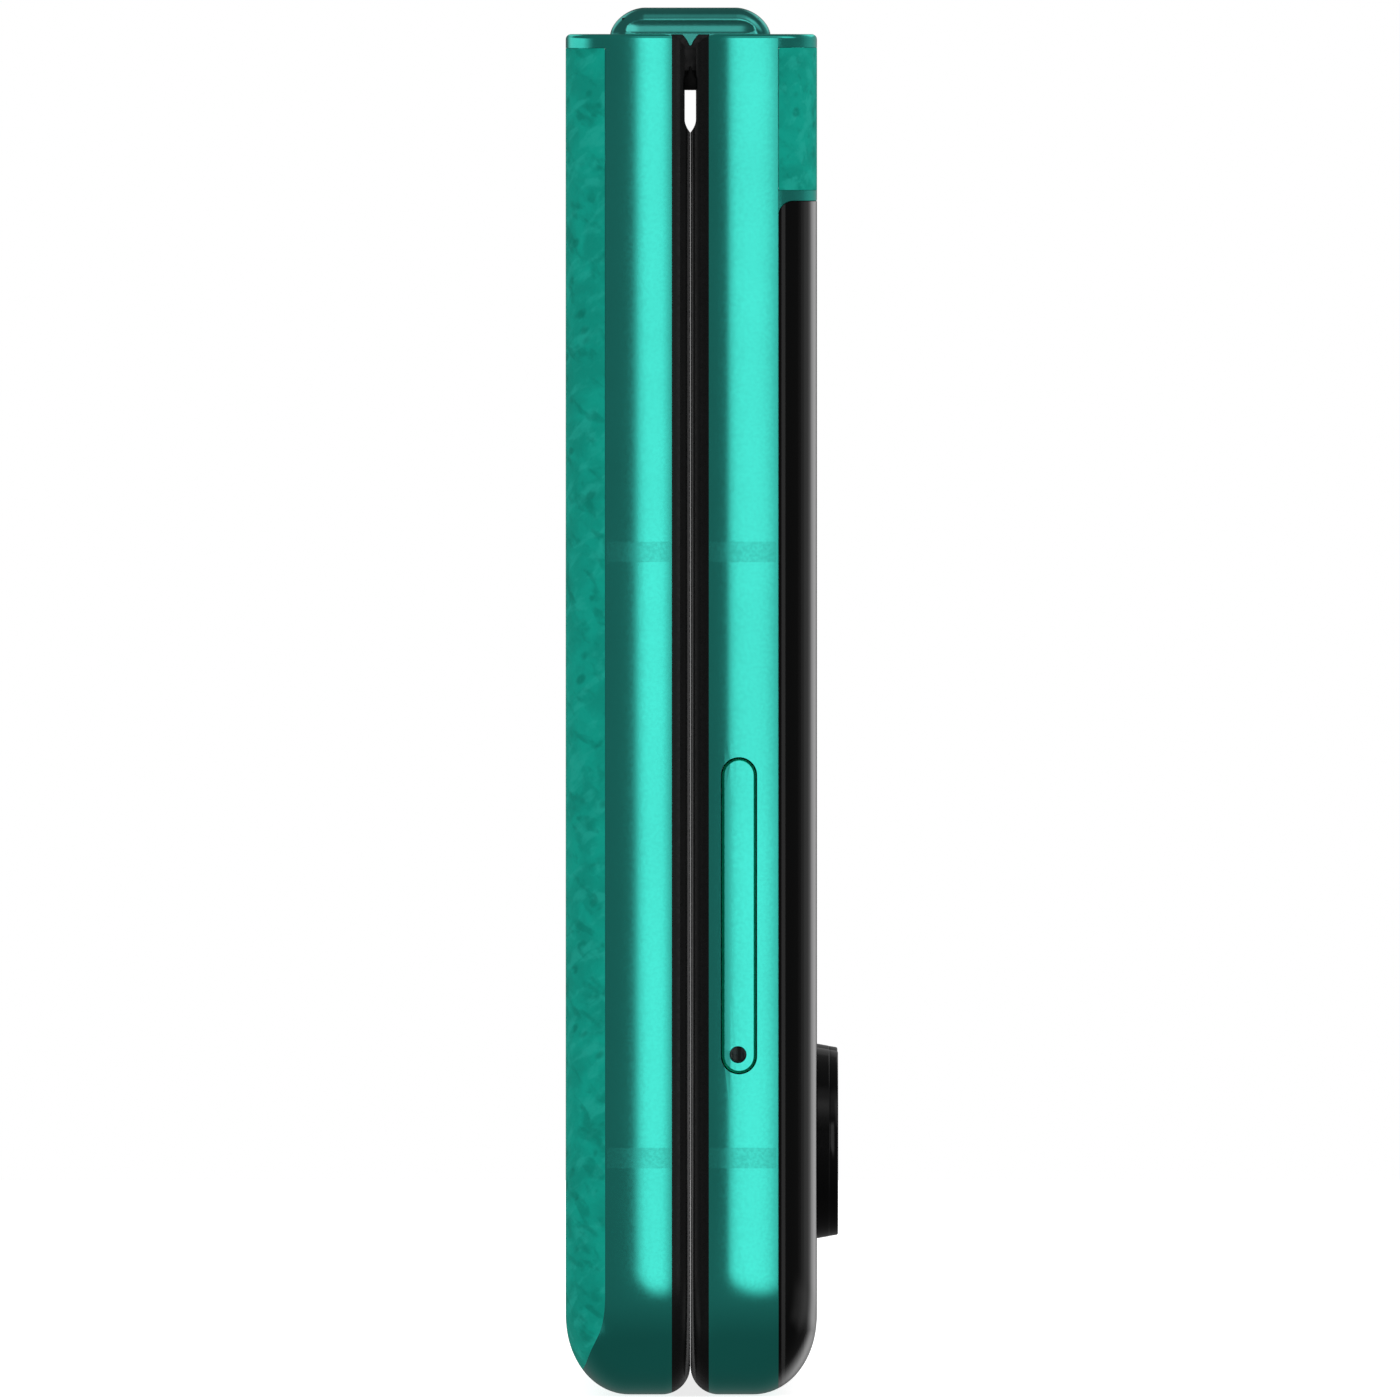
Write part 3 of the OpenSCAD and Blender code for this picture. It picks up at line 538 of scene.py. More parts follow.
lens = lathe(lens_prof, 96)
piece("lens_window_pair", merged([placed(lens, CT, y, RING_Z) for y in RING_Y]), "cover", "cover_half", "lens_glass",
      "lens_glasses", sharp=26)

# lens barrels with stepped baffles, an iris and a domed front element
barrel_prof = [(0, -2.4), (3.6, -2.4), (3.6, -0.33), (3.5, -0.30), (3.2, -0.30), (3.15, -0.42), (2.95, -0.44),
               (2.9, -0.56), (2.7, -0.58), (2.62, -0.72), (2.4, -0.74), (2.3, -0.9), (2.05, -0.92), (1.9, -1.12),
               (1.3, -1.2), (1.2, -1.3), (0, -1.3)]
barrel = lathe(barrel_prof, 96)
cams = []
for y in RING_Y:
    body = prism(rounded(y - 4.4, y + 4.4, RING_Z - 5.2, RING_Z + 3.7, 0.8), 1.7, 5.63, "x")
    cams.append(body)
    cams.append(placed(barrel, CT, y, RING_Z))
piece("camera_module_pair", merged(cams), "cover", "cover_half", "plastic_black", "camera_modules", sharp=26)
dome_prof = [(0, -1.29), (1.86, -1.1)] + [(1.86 * math.cos(math.radians(a)), -1.1 + 0.62 * math.sin(math.radians(a)))
                                          for a in range(10, 90, 10)] + [(0, -0.48)]
dome = lathe(dome_prof, 72)
piece("front_elements", merged([placed(dome, CT, y, RING_Z) for y in RING_Y]), "cover", "cover_half", "lens_glass",
      sharp=50)

# flash window with concentric prism rings
fl = [(0, -0.75), (1.92, -0.75), (1.92, -0.06), (1.88, -0.03), (1.6, -0.03)]
r0 = 1.6
while r0 > 0.3:
    fl += [(r0 - 0.02, -0.12), (r0 - 0.16, -0.05)]
    r0 -= 0.18
fl += [(0, -0.05)]
piece("flash_window", placed(lathe(fl, 72), CT, 3.5, RING_Z), "cover", "cover_half", "flash", "flash_lens", sharp=20)

# ---------------------------------------------------------------- spine, end caps


def tongue(d):
    """Outline [x, z] of the small point that hangs from the end wall of the spine, grown by d."""
    half = [(0.62, 1.9), (0.40, 1.66), (0.20, 1.40), (0.07, 1.12)]
    return ([(x + d, z) for x, z in half] + [(0.0, 1.06 - d)] + [(-x - d, z) for x, z in half[::-1]])


def spine_outline(d, z1):
    w, top, rx, rz = 5.1, 3.48, 2.2, 1.85
    pts = [(-w + d, z1)]
    pts += sell(-w + rx, top - rz, rx - d, rz - d, 1.8, 180, 90, 18)
    pts += sell(w - rx, top - rz, rx - d, rz - d, 1.8, 90, 0, 18)
    pts += [(w - d, z1)]
    return pts


def spine_mesh():
    re, half = 0.95, HW - 1.25
    st = [(-half + re * (1 - math.cos(math.pi / 2 * i / 10)), re - re * math.sin(math.pi / 2 * i / 10)) for i in range(11)]
    st += [(y, 0.0) for y in (-30, -20, -10, 0, 10, 20, 30)]
    st += [(-y, d) for y, d in st[10::-1]]
    verts, faces = [], []
    m = len(spine_outline(0, 1.0))
    for y, d in st:
        verts += [(x, y, z) for x, z in spine_outline(d, 1.0)]
    for i in range(len(st) - 1):
        for k in range(m):
            k2 = (k + 1) % m
            faces.append((i * m + k, i * m + k2, (i + 1) * m + k2, (i + 1) * m + k))
    faces.append(list(range(m)))
    faces.append(list(range((len(st) - 1) * m, len(st) * m))[::-1])
    outer = mesh_of(verts, faces)
    rho, deep = 1.434, 0.074
    prof = [(0, -4.5)] + [(rho - 0.115 * (max(abs(h) - 3.3, 0) / 1.2) ** 2, h)
                          for h in [-4.5 + 9.0 * i / 48 for i in range(49)]] + [(0, 4.5)]
    scoop = lathe(prof, 180)
    for sy in (1, -1):
        outer = cut(outer, placed(scoop, 0, sy * (half + rho - deep), 2.27))
    for v in outer.vertices:
        if v.co.y < -half + 1.0:
            v.co.y += 0.035 - 0.014 * v.co.x
    r = 1.2
    inner = prism([(-4.3, 0.0)] + arc(-4.3 + r, 2.8 - r, r, 180, 90, 12) + arc(4.3 - r, 2.8 - r, r, 90, 0, 12)
                  + [(4.3, 0.0)], -HW + 1.7, HW - 1.7, "y")
    body = cut(outer, inner)
    for sy in (1, -1):
        ya, yb = sorted((sy * (HW - 2.2), sy * (HW - 1.0)))
        notch = cut(box(-1.2, 1.2, ya, yb, 0.6, 1.78), prism(tongue(0), ya - 1, yb + 1, "y"))
        body = cut(body, notch)
    return body


piece("spine_shell", spine_mesh(), "spine", "spine", "spine_metal", "spine_cover", sharp=34, bevel=0.05, limit=50)

caps = []
for s in (1, -1):
    body = box(-0.36, 0.36, min(s * (HW - 1.3), s * (HW - 0.2)), max(s * (HW - 1.3), s * (HW - 0.2)), -1.755, -0.25)
    foot = box(-0.36, 0.36, min(s * (HW - 1.8), s * (HW - 1.29)), max(s * (HW - 1.8), s * (HW - 1.29)), -1.755, -0.52)
    plate = prism([(-0.62, -1.755), (0.62, -1.755), (0.8, -1.5), (0.8, 0.1), (-0.8, 0.1), (-0.8, -1.5)],
                  min(s * (HW - 1.78), s * (HW - 1.31)), max(s * (HW - 1.78), s * (HW - 1.31)), "y")
    cap = join(body, foot)
    cap = join(cut(cap, *[cyl_y(q * AX, 0, DR + 0.02, -HW - 1, HW + 1, 160) for q in (1, -1)]), plate)
    caps.append(cap)
piece("hinge_tee_caps", merged(caps), "spine", "spine", "rim_black", "hinge_end_caps", sharp=34, bevel=0.03, limit=40)

# ---------------------------------------------------------------- card tray and keys
def loft_y(rows, cu, cv, w, l, n=32):
    """Rows of (inset, y); a y above -1 is counted inwards from the bulged side wall."""
    verts, faces = [], []
    m = len(stadium(cu, cv, w, l, n))
    for d, y in rows:
        verts += [(x, y if y < -1 else y - HW + s_inset(x, CT, 2.55), z)
                  for x, z in stadium(cu, cv, w - 2 * d, l - 2 * d, n)]
    for i in range(len(rows) - 1):
        for k in range(m):
            k2 = (k + 1) % m
            faces.append((i * m + k, i * m + k2, (i + 1) * m + k2, (i + 1) * m + k))
    faces.append(list(range(m)))
    faces.append(list(range((len(rows) - 1) * m, len(rows) * m))[::-1])
    return mesh_of(verts, faces)


tray_head = meet(ENV_C, loft_y([(0, -36.15), (0, 0.22), (0.02, 0.175), (0.18, 0.0), (0.19, -37.2)], TRAY_U, TRAY_Z, TRAY_W, TRAY_L))
tray = join(tray_head,
            prism(stadium(TRAY_U, TRAY_Z, TRAY_W - 0.7, TRAY_L - 0.7), -36.2, -35.3, "y"),
            prism(stadium(TRAY_U, TRAY_Z, TRAY_W - 0.1, TRAY_L - 0.1), -35.35, -34.7, "y"),
            box(2.55, 3.6, -34.9, -13.2, TRAY_Z - 8.9, TRAY_Z + 8.9))
hole_x, hole_z = TRAY_U - 0.06, TRAY_Z - 8.8
mouth = lathe([(0, -3.0), (0.5, -3.0), (0.5, -0.07), (0.53, -0.03), (0.60, 0.6), (0, 0.6)], 48)
bm = bmesh.new()
bm.from_mesh(mouth)
for v in bm.verts:
    h, a, b = v.co
    v.co = (hole_x + a, -(36.93 + h), hole_z + b)
bm.to_mesh(mouth)
bm.free()
mouth = mesh_of([v.co[:] for v in mouth.vertices], [p.vertices[:] for p in mouth.polygons])
tray = cut(tray, mouth,
           prism(rounded(-32.6, -20.3, TRAY_Z - 7.8, TRAY_Z + 7.8, 0.6), 2.4, 3.4, "x"),
           prism(rounded(-30, -15, TRAY_Z - 5, TRAY_Z + 7.8, 0.6), 2.95, 4, "x"),
           box(2.5, 3.7, -34, -12, TRAY_Z - 9.5, TRAY_Z - 8.1))
piece("card_tray", tray, "cover", "card_tray", "frame_metal", "sim_tray", sharp=30)


def key_mesh(zc, ln, y_in, flange):
    """A slim key with softly rounded outer edges on a wider inner flange."""
    r, top = 0.16, HW + KEY_H
    rows = [(0.0, y_in), (0.0, top - r)]
    rows += [(r * (1 - math.cos(math.pi / 2 * i / 6)), top - r + r * math.sin(math.pi / 2 * i / 6)) for i in range(1, 7)]
    verts, faces = [], []
    out = stadium(KEY_U, zc, 2.16, ln, 20)
    m = len(out)
    for d, y in rows:
        verts += [(x, y, z) for x, z in stadium(KEY_U, zc, 2.16 - 2 * d, ln - 2 * d, 20)]
    for i in range(len(rows) - 1):
        for k in range(m):
            k2 = (k + 1) % m
            faces.append((i * m + k, i * m + k2, (i + 1) * m + k2, (i + 1) * m + k))
    faces.append(list(range(m)))
    faces.append(list(range((len(rows) - 1) * m, len(rows) * m))[::-1])
    return join(mesh_of(verts, faces), prism(stadium(KEY_U, zc, 2.9, ln + 0.9, 20), flange[0], flange[1], "y"))


piece("power_key_cap", key_mesh(64.0, 12.0, 35.3, (35.0, 35.45)), "cover", "power_button", "frame_metal", "power_key",
      sharp=30)
piece("volume_key_cap", key_mesh(41.0, 20.0, 35.15, (34.85, 35.2)), "cover", "volume_button", "frame_metal",
      "volume_rocker", sharp=30)

# ---------------------------------------------------------------- the fold of the screen
# The rest shape: each point of the open, flat strip is turned back by its own share of the fold.


def fold_curve(delta, w, d, fs, span):
    """Rest place (dx, dz) about the axis, and place along the open strip, for a share w of the turn."""
    th = w * math.pi / 2
    c, s = math.cos(th), math.sin(th)
    lo, hi = 0.0, 1.0
    for _ in range(60):
        q = (lo + hi) / 2
        if q * q * (3 - 2 * q) < w:
            lo = q
        else:
            hi = q
    f = fs + (lo + hi) / 2 * span
    a = AX - delta
    return (f - a * (d[0] * c - d[1] * s)) / (d[0] * s + d[1] * c)


def fold_piece(name, d_front, d_back, z_start, y1, y2, slot, side, nodes, d=(0.8, 0.6), ny=24):
    rows = {}
    n = math.hypot(*d)
    d = (d[0] / n, d[1] / n)
    fs = (AX - d_front) * d[0] + z_start * d[1]
    fe = -(AX - d_front) * d[1] + AX * d[0]
    for key, dl in (("f", d_front), ("b", d_back)):
        a = AX - dl
        row = [(a, z_start)]
        last = z_start
        for i in range(49):
            w = i / 48
            t = fold_curve(dl, w, d, fs, fe - fs)
            t = min(max(t, last), AX)
            last = t
            th = w * math.pi / 2
            row.append((a * math.cos(th) + t * math.sin(th), -a * math.sin(th) + t * math.cos(th)))
        th = math.pi / 2
        row.append((a * math.cos(th) + AX * math.sin(th), -a))
        rows[key] = row
    outline = rows["f"] + rows["b"][::-1]
    m = len(outline)
    ys = [y1 + (y2 - y1) * j / ny for j in range(ny + 1)]
    verts, faces = [], []
    for y in ys:
        for dx, dz in outline:
            x = -AX + dx
            verts.append((x if side == "main" else -x, y, dz))
    h = len(rows["f"])
    for j in range(ny):
        for k in range(m):
            k2 = (k + 1) % m
            faces.append((j * m + k, j * m + k2, (j + 1) * m + k2, (j + 1) * m + k))
    for j, flip in ((0, 1), (ny, 0)):
        for k in range(h - 1):
            q = [j * m + k, j * m + k + 1, j * m + m - 2 - k, j * m + m - 1 - k]
            faces.append(q[::-1] if flip else q)
    me = mesh_of(verts, faces)
    o = piece(name, me, "spine", None, slot, sharp=40, ride=False, weighted=False)
    if side == "main":
        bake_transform(o)
    else:
        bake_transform(o)
    if nodes:
        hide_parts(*nodes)
    return o


fold_piece("screen_fold_main", 0.45, 0.72, -2.5, -35.0, 35.0, "screen", "main", ["display_fold"])
fold_piece("screen_fold_cover", 0.45, 0.72, -2.5, -35.0, 35.0, "screen", "cover", ["display_fold"])
fold_piece("flex_fold_main", 0.78, 0.90, -2.44, -7.0, 7.0, "gold", "main", ["hinge_flex"], ny=6)
fold_piece("flex_fold_cover", 0.78, 0.90, -2.44, -7.0, 7.0, "gold", "cover", ["hinge_flex"], ny=6)



def trimmed_arms(side, name, node):
    """The toothed arms, their sector flattened where the unfolded screen lies over it."""
    src = frame["nodes"][node]
    me = src.data.copy()
    sx = -1 if side == "main" else 1
    bm = bmesh.new()
    bm.from_mesh(me)
    for v in bm.verts:
        w = src.matrix_world @ v.co
        v.co = (sx * (w.x / MM - GX), w.y / MM, w.z / MM)
    if side == "main":
        bmesh.ops.reverse_faces(bm, faces=bm.faces)
    bmesh.ops.remove_doubles(bm, verts=bm.verts, dist=0.0005)
    bm.to_mesh(me)
    bm.free()
    me.materials.clear()
    me = cut(me, *[box(-3, 0.77, min(q * 28, q * 34), max(q * 28, q * 34), AZ - 2.4, AZ + 2.4) for q in (1, -1)])
    piece(name, me, side, side + "_half", "steel", node, sharp=30)


trimmed_arms("main", "main_arm_pair", "main_hinge_arms")
trimmed_arms("cover", "cover_arm_pair", "cover_hinge_arms")

# ---------------------------------------------------------------- materials


class Nodes:
    def __init__(self, tree):
        self.t = tree
        self.n = tree.nodes
        self.n.clear()

    def add(self, kind, **props):
        node = self.n.new(kind)
        for k, v in props.items():
            setattr(node, k, v)
        return node

    def set(self, sock, value):
        if isinstance(value, bpy.types.NodeSocket):
            self.t.links.new(value, sock)
        else:
            sock.default_value = value

    def math(self, op, a, b=0.0, c=0.0):
        node = self.add("ShaderNodeMath", operation=op)
        self.set(node.inputs[0], a)
        self.set(node.inputs[1], b)
        if len(node.inputs) > 2:
            self.set(node.inputs[2], c)
        return node.outputs[0]

    def ramp(self, v, a, b, c=0.0, d=1.0, smooth=True):
        node = self.add("ShaderNodeMapRange", interpolation_type="SMOOTHSTEP" if smooth else "LINEAR")
        self.set(node.inputs[0], v)
        for i, q in enumerate((a, b, c, d)):
            self.set(node.inputs[i + 1], q)
        return node.outputs[0]

    def mix(self, f, a, b):
        node = self.add("ShaderNodeMix", data_type="RGBA")
        self.set(node.inputs[0], f)
        self.set(node.inputs[6], a)
        self.set(node.inputs[7], b)
        return node.outputs[2]

    def coords(self, scale=(1, 1, 1), rot=(0, 0, 0)):
        tc = self.add("ShaderNodeTexCoord")
        mp = self.add("ShaderNodeMapping")
        self.set(mp.inputs["Scale"], scale)
        self.set(mp.inputs["Rotation"], rot)
        self.t.links.new(tc.outputs["Object"], mp.inputs[0])
        return mp.outputs[0]

    def streaks(self, rot, k):
        """Coordinates drawn out k times along the Z axis turned by rot (degrees)."""
        tc = self.add("ShaderNodeTexCoord")
        mp = self.add("ShaderNodeMapping", vector_type="TEXTURE")
        self.set(mp.inputs["Rotation"], tuple(math.radians(a) for a in rot))
        self.set(mp.inputs["Scale"], (1.0, 1.0, k))
        self.t.links.new(tc.outputs["Object"], mp.inputs[0])
        return mp.outputs[0]

    def facing_x(self):
        """How far the surface turns toward the X axis, 0 to 1."""
        tc = self.add("ShaderNodeTexCoord")
        sp = self.add("ShaderNodeSeparateXYZ")
        self.t.links.new(tc.outputs["Normal"], sp.inputs[0])
        return self.math("ABSOLUTE", sp.outputs[0])

    def facing(self, axis):
        """The same for any axis, with its sign."""
        tc = self.add("ShaderNodeTexCoord")
        sp = self.add("ShaderNodeSeparateXYZ")
        self.t.links.new(tc.outputs["Normal"], sp.inputs[0])
        return sp.outputs[axis]

    def place(self, axis):
        tc = self.add("ShaderNodeTexCoord")
        sp = self.add("ShaderNodeSeparateXYZ")
        self.t.links.new(tc.outputs["Object"], sp.inputs[0])
        return sp.outputs[axis]

    def within(self, axis, lo, hi):
        v = self.place(axis)
        return self.math("MULTIPLY", self.math("GREATER_THAN", v, lo), self.math("LESS_THAN", v, hi))

    def noise(self, vec, scale, detail=3.0, rough=0.5, dist=0.0):
        node = self.add("ShaderNodeTexNoise")
        self.set(node.inputs["Vector"], vec)
        self.set(node.inputs["Scale"], scale)
        self.set(node.inputs["Detail"], detail)
        self.set(node.inputs["Roughness"], rough)
        self.set(node.inputs["Distortion"], dist)
        return node.outputs["Fac"]

    def bump(self, height, strength, distance, normal=None):
        node = self.add("ShaderNodeBump")
        self.set(node.inputs["Strength"], strength)
        self.set(node.inputs["Distance"], distance)
        self.set(node.inputs["Height"], height)
        if normal is not None:
            self.set(node.inputs["Normal"], normal)
        return node.outputs[0]


def rgba(c, k=1.0):
    return (c[0] * k, c[1] * k, c[2] * k, 1.0)


def material(name):
    m = bpy.data.materials.new(name)
    m.use_nodes = True
    g = Nodes(m.node_tree)
    out = g.add("ShaderNodeOutputMaterial")
    p = g.add("ShaderNodeBsdfPrincipled")
    g.t.links.new(p.outputs[0], out.inputs[0])
    return m, g, p


def anodised(name, col, rough, var=0.035, grain=0.02, spread=0.02, metal=1.0, inner=None):
    """Blasted and dyed aluminium: a fine satin grain and faint cloudiness."""
    m, g, p = material(name)
    v = g.coords()
    cloud = g.noise(v, 90.0, 3.0)
    fine = g.noise(v, 5200.0, 2.0)
    f = g.ramp(cloud, 0.35, 0.65)
    c = g.mix(f, rgba(col, 1 - var), rgba(col, 1 + var))
    if inner:
        # the base colour is near black on the walls of the hinge space
        hx, hy, z1, z2 = inner
        f = g.math("MULTIPLY", g.within(0, (GX - hx) * MM, (GX + hx) * MM),
                   g.math("MULTIPLY", g.within(1, -hy * MM, hy * MM), g.within(2, z1 * MM, z2 * MM)))
        c = g.mix(f, c, (0.006, 0.0065, 0.007, 1.0))
    g.set(p.inputs["Base Color"], c)
    g.set(p.inputs["Metallic"], metal)
    g.set(p.inputs["Roughness"], g.ramp(fine, 0.3, 0.7, rough - spread, rough + spread))
    g.set(p.inputs["Normal"], g.bump(fine, grain, 0.00002))
    return m


def suede(name):
    """Teal suede-like leather: mottled nap with short slanting flecks, fine pores and a soft sheen."""
    m, g, p = material(name)
    v = g.coords()
    patch = g.noise(v, 430.0, 3.0, 0.55, 0.5)
    up = g.noise(g.streaks((35.26, 45, 0), 2.3), 1250.0, 3.0, 0.5, 0.3)
    down = g.noise(g.streaks((-35.26, -45, 0), 2.0), 1100.0, 3.0, 0.5, 0.3)
    fine = g.noise(v, 5200.0, 3.0, 0.6)
    vo = g.add("ShaderNodeTexVoronoi")
    g.set(vo.inputs["Vector"], g.streaks((35.26, 45, 0), 1.5))
    g.set(vo.inputs["Scale"], 780.0)
    g.set(vo.inputs["Randomness"], 1.0)
    pick = g.ramp(g.noise(v, 760.0, 2.0), 0.44, 0.58)
    speck = g.math("MULTIPLY", g.ramp(vo.outputs["Distance"], 0.30, 0.12), pick)
    base, dark, lite = (0.0058, 0.452, 0.342), (0.0012, 0.240, 0.176), (0.024, 0.590, 0.465)
    c = g.mix(g.ramp(patch, 0.34, 0.68), rgba(base, 0.87), rgba(base, 1.09))
    c = g.mix(g.math("MULTIPLY", g.ramp(up, 0.50, 0.68), 0.50), c, rgba(lite))
    c = g.mix(g.math("MULTIPLY", g.ramp(down, 0.48, 0.30), 0.48), c, rgba(dark))
    c = g.mix(g.math("MULTIPLY", speck, 0.62), c, rgba(dark))
    c = g.mix(g.math("MULTIPLY", g.ramp(fine, 0.55, 0.75), 0.10), c, rgba(dark))
    g.set(p.inputs["Base Color"], c)
    g.set(p.inputs["Roughness"], g.ramp(fine, 0.3, 0.7, 0.75, 0.92))
    p.inputs["Specular IOR Level"].default_value = 0.10
    p.inputs["Sheen Weight"].default_value = 0.05
    p.inputs["Sheen Roughness"].default_value = 0.5
    p.inputs["Sheen Tint"].default_value = (0.2, 0.9, 0.75, 1)
    h = g.math("ADD", g.math("MULTIPLY", up, 0.5), g.math("ADD", g.math("MULTIPLY", down, 0.5),
                                                        g.math("MULTIPLY", fine, 0.35)))
    g.set(p.inputs["Normal"], g.bump(h, 0.6, 0.00007))
    return m


def polymer(name, col, rough, spread=0.05, spec=0.5, coat=0.0, grain=0.03, scale=3500.0, var=0.1):
    m, g, p = material(name)
    v = g.coords()
    fine = g.noise(v, scale, 3.0)
    cloud = g.noise(v, 130.0, 3.0)
    g.set(p.inputs["Base Color"], g.mix(g.ramp(cloud, 0.35, 0.65), rgba(col, 1 - var), rgba(col, 1 + var)))
    g.set(p.inputs["Roughness"], g.ramp(fine, 0.3, 0.7, rough - spread, rough + spread))
    p.inputs["Specular IOR Level"].default_value = spec
    if coat:
        p.inputs["Coat Weight"].default_value = coat
        p.inputs["Coat Roughness"].default_value = 0.04
    g.set(p.inputs["Normal"], g.bump(fine, grain, 0.00003))
    return m


def rim_polymer(name, col, rough):
    """Black moulding with a painted highlight: its rounded inner edge is mixed toward white, more strongly towards the
    bottom.
    """
    m, g, p = material(name)
    v = g.coords()
    fine = g.noise(v, 3500.0, 3.0)
    turn = g.facing_x()
    # painted highlight: where the rounded inner edge turns toward the gap, the colour is pushed toward white
    painted_rim_highlight = g.math("MULTIPLY", g.ramp(turn, 0.76, 0.85), g.ramp(turn, 0.990, 0.9995, 1.0, 0.0))
    # strength of the painted highlight, greater towards the bottom
    painted_highlight_strength = g.ramp(g.place(2), 0.078, 0.020, 0.085, 0.20, smooth=False)
    c = g.mix(g.ramp(g.noise(v, 130.0), 0.35, 0.65), rgba(col, 0.9), rgba(col, 1.1))
    g.set(p.inputs["Base Color"], g.mix(g.math("MULTIPLY", painted_rim_highlight, painted_highlight_strength), c, (1.0, 1.0, 1.0, 1.0)))
    g.set(p.inputs["Roughness"], g.ramp(fine, 0.3, 0.7, rough - 0.05, rough + 0.05))
    p.inputs["Specular IOR Level"].default_value = 0.35
    g.set(p.inputs["Normal"], g.bump(fine, 0.02, 0.00002))
    return m


def glassy(name, col, rough, smudge=0.02, edge=False):
    """Black glass: near mirror smooth with a very faint touch pattern in its gloss. With edge set, painted reflections
    lighten its curved edges, its lower corners and a thin line at the chamfer.
    """
    m, g, p = material(name)
    v = g.coords()
    sm = g.noise(v, 60.0, 4.0, 0.6, 1.2)
    dust = g.noise(v, 2600.0, 2.0)
    c = g.mix(g.ramp(sm, 0.3, 0.7), rgba(col, 0.85), rgba(col, 1.15))
    if edge:
        # painted reflection: the curved edges are mixed toward white where they turn toward the side, fading out on the
        # flat face and towards the bottom
        turn = g.facing_x()
        painted_edge_reflection = g.math("ADD", g.ramp(turn, 0.50, 0.80, 0.0, 0.045), g.ramp(turn, 0.76, 0.965, 0.0, 0.52))
        painted_edge_reflection = g.math("MULTIPLY", painted_edge_reflection, g.ramp(turn, 0.968, 0.994, 1.0, 0.0))
        down = g.math("ABSOLUTE", g.facing(2))
        painted_edge_reflection = g.math("MULTIPLY", painted_edge_reflection, g.ramp(down, 0.24, 0.48, 1.0, 0.12))
        # painted reflection on the lower corners of the glass
        painted_corner_reflection = g.math("MULTIPLY", g.ramp(g.facing(2), -0.03, -0.40, 0.0, 0.74),
                       g.math("MULTIPLY", g.ramp(g.math("ABSOLUTE", g.facing(1)), 0.52, 0.06),
                              g.ramp(turn, 0.25, 0.70)))
        painted_corner_reflection = g.math("MULTIPLY", painted_corner_reflection, g.ramp(g.math("ABSOLUTE", g.place(1)), 0.0275, 0.0325))
        painted_edge_reflection = g.math("MAXIMUM", painted_edge_reflection, painted_corner_reflection)
        # painted highlight: a thin pale line along the glass chamfer next to the frame
        seam = g.math("MULTIPLY", g.ramp(g.place(0), 0.00499, 0.00507), g.ramp(g.place(0), 0.00522, 0.00532, 1.0, 0.0))
        painted_edge_reflection = g.math("ADD", painted_edge_reflection, g.math("MULTIPLY", seam, 0.035))
        c = g.mix(painted_edge_reflection, c, (1.0, 1.0, 1.0, 1.0))
    g.set(p.inputs["Base Color"], c)
    r = g.math("ADD", g.ramp(sm, 0.4, 0.75, rough, rough + smudge), g.ramp(dust, 0.6, 0.8, 0.0, smudge * 0.4))
    g.set(p.inputs["Roughness"], r)
    p.inputs["Specular IOR Level"].default_value = 0.38
    g.set(p.inputs["Normal"], g.bump(sm, 0.012, 0.0001))
    return m


def brushed(name, col, rough, axis=2, scale=900.0):
    """Sheet or turned steel with fine lines along one axis."""
    m, g, p = material(name)
    s = [1.0, 1.0, 1.0]
    s[axis] = 0.03
    lines = g.noise(g.coords(scale=tuple(s)), scale * 3, 4.0, 0.65)
    cloud = g.noise(g.coords(), 160.0, 2.0)
    g.set(p.inputs["Base Color"], g.mix(g.ramp(cloud, 0.35, 0.65), rgba(col, 0.9), rgba(col, 1.06)))
    g.set(p.inputs["Metallic"], 1.0)
    g.set(p.inputs["Roughness"], g.ramp(lines, 0.3, 0.7, rough - 0.07, rough + 0.09))
    g.set(p.inputs["Normal"], g.bump(lines, 0.12, 0.00002))
    return m


def turned(name, col, rough):
    """Black anodised ring with very fine turning grooves."""
    m, g, p = material(name)
    v = g.coords()
    fine = g.noise(v, 6000.0, 2.0)
    g.set(p.inputs["Base Color"], g.mix(g.ramp(g.noise(v, 300.0), 0.35, 0.65), rgba(col, 0.85), rgba(col, 1.15)))
    g.set(p.inputs["Metallic"], 0.2)
    p.inputs["Specular IOR Level"].default_value = 0.4
    g.set(p.inputs["Roughness"], g.ramp(fine, 0.3, 0.7, rough - 0.03, rough + 0.04))
    g.set(p.inputs["Normal"], g.bump(fine, 0.05, 0.00002))
    return m


def circuit(name):
    """Solder mask over copper: a grid of traces that shows as slightly lighter green, with small gold pads."""
    m, g, p = material(name)
    v = g.coords()
    br = g.add("ShaderNodeTexBrick")
    g.set(br.inputs["Vector"], g.coords(rot=(0, math.radians(90), 0)))
    g.set(br.inputs["Scale"], 420.0)
    br.inputs["Mortar Size"].default_value = 0.06
    br.inputs["Color1"].default_value = (0.006, 0.07, 0.045, 1)
    br.inputs["Color2"].default_value = (0.01, 0.09, 0.055, 1)
    br.inputs["Mortar"].default_value = (0.02, 0.16, 0.10, 1)
    vo = g.add("ShaderNodeTexVoronoi")
    g.set(vo.inputs["Vector"], v)
    g.set(vo.inputs["Scale"], 520.0)
    pads = g.ramp(vo.outputs["Distance"], 0.13, 0.10)
    g.set(p.inputs["Base Color"], g.mix(pads, br.outputs["Color"], (0.65, 0.42, 0.15, 1)))
    g.set(p.inputs["Metallic"], pads)
    g.set(p.inputs["Roughness"], g.ramp(g.noise(v, 900.0), 0.3, 0.7, 0.28, 0.45))
    g.set(p.inputs["Normal"], g.bump(br.outputs["Fac"], 0.2, 0.00003))
    return m


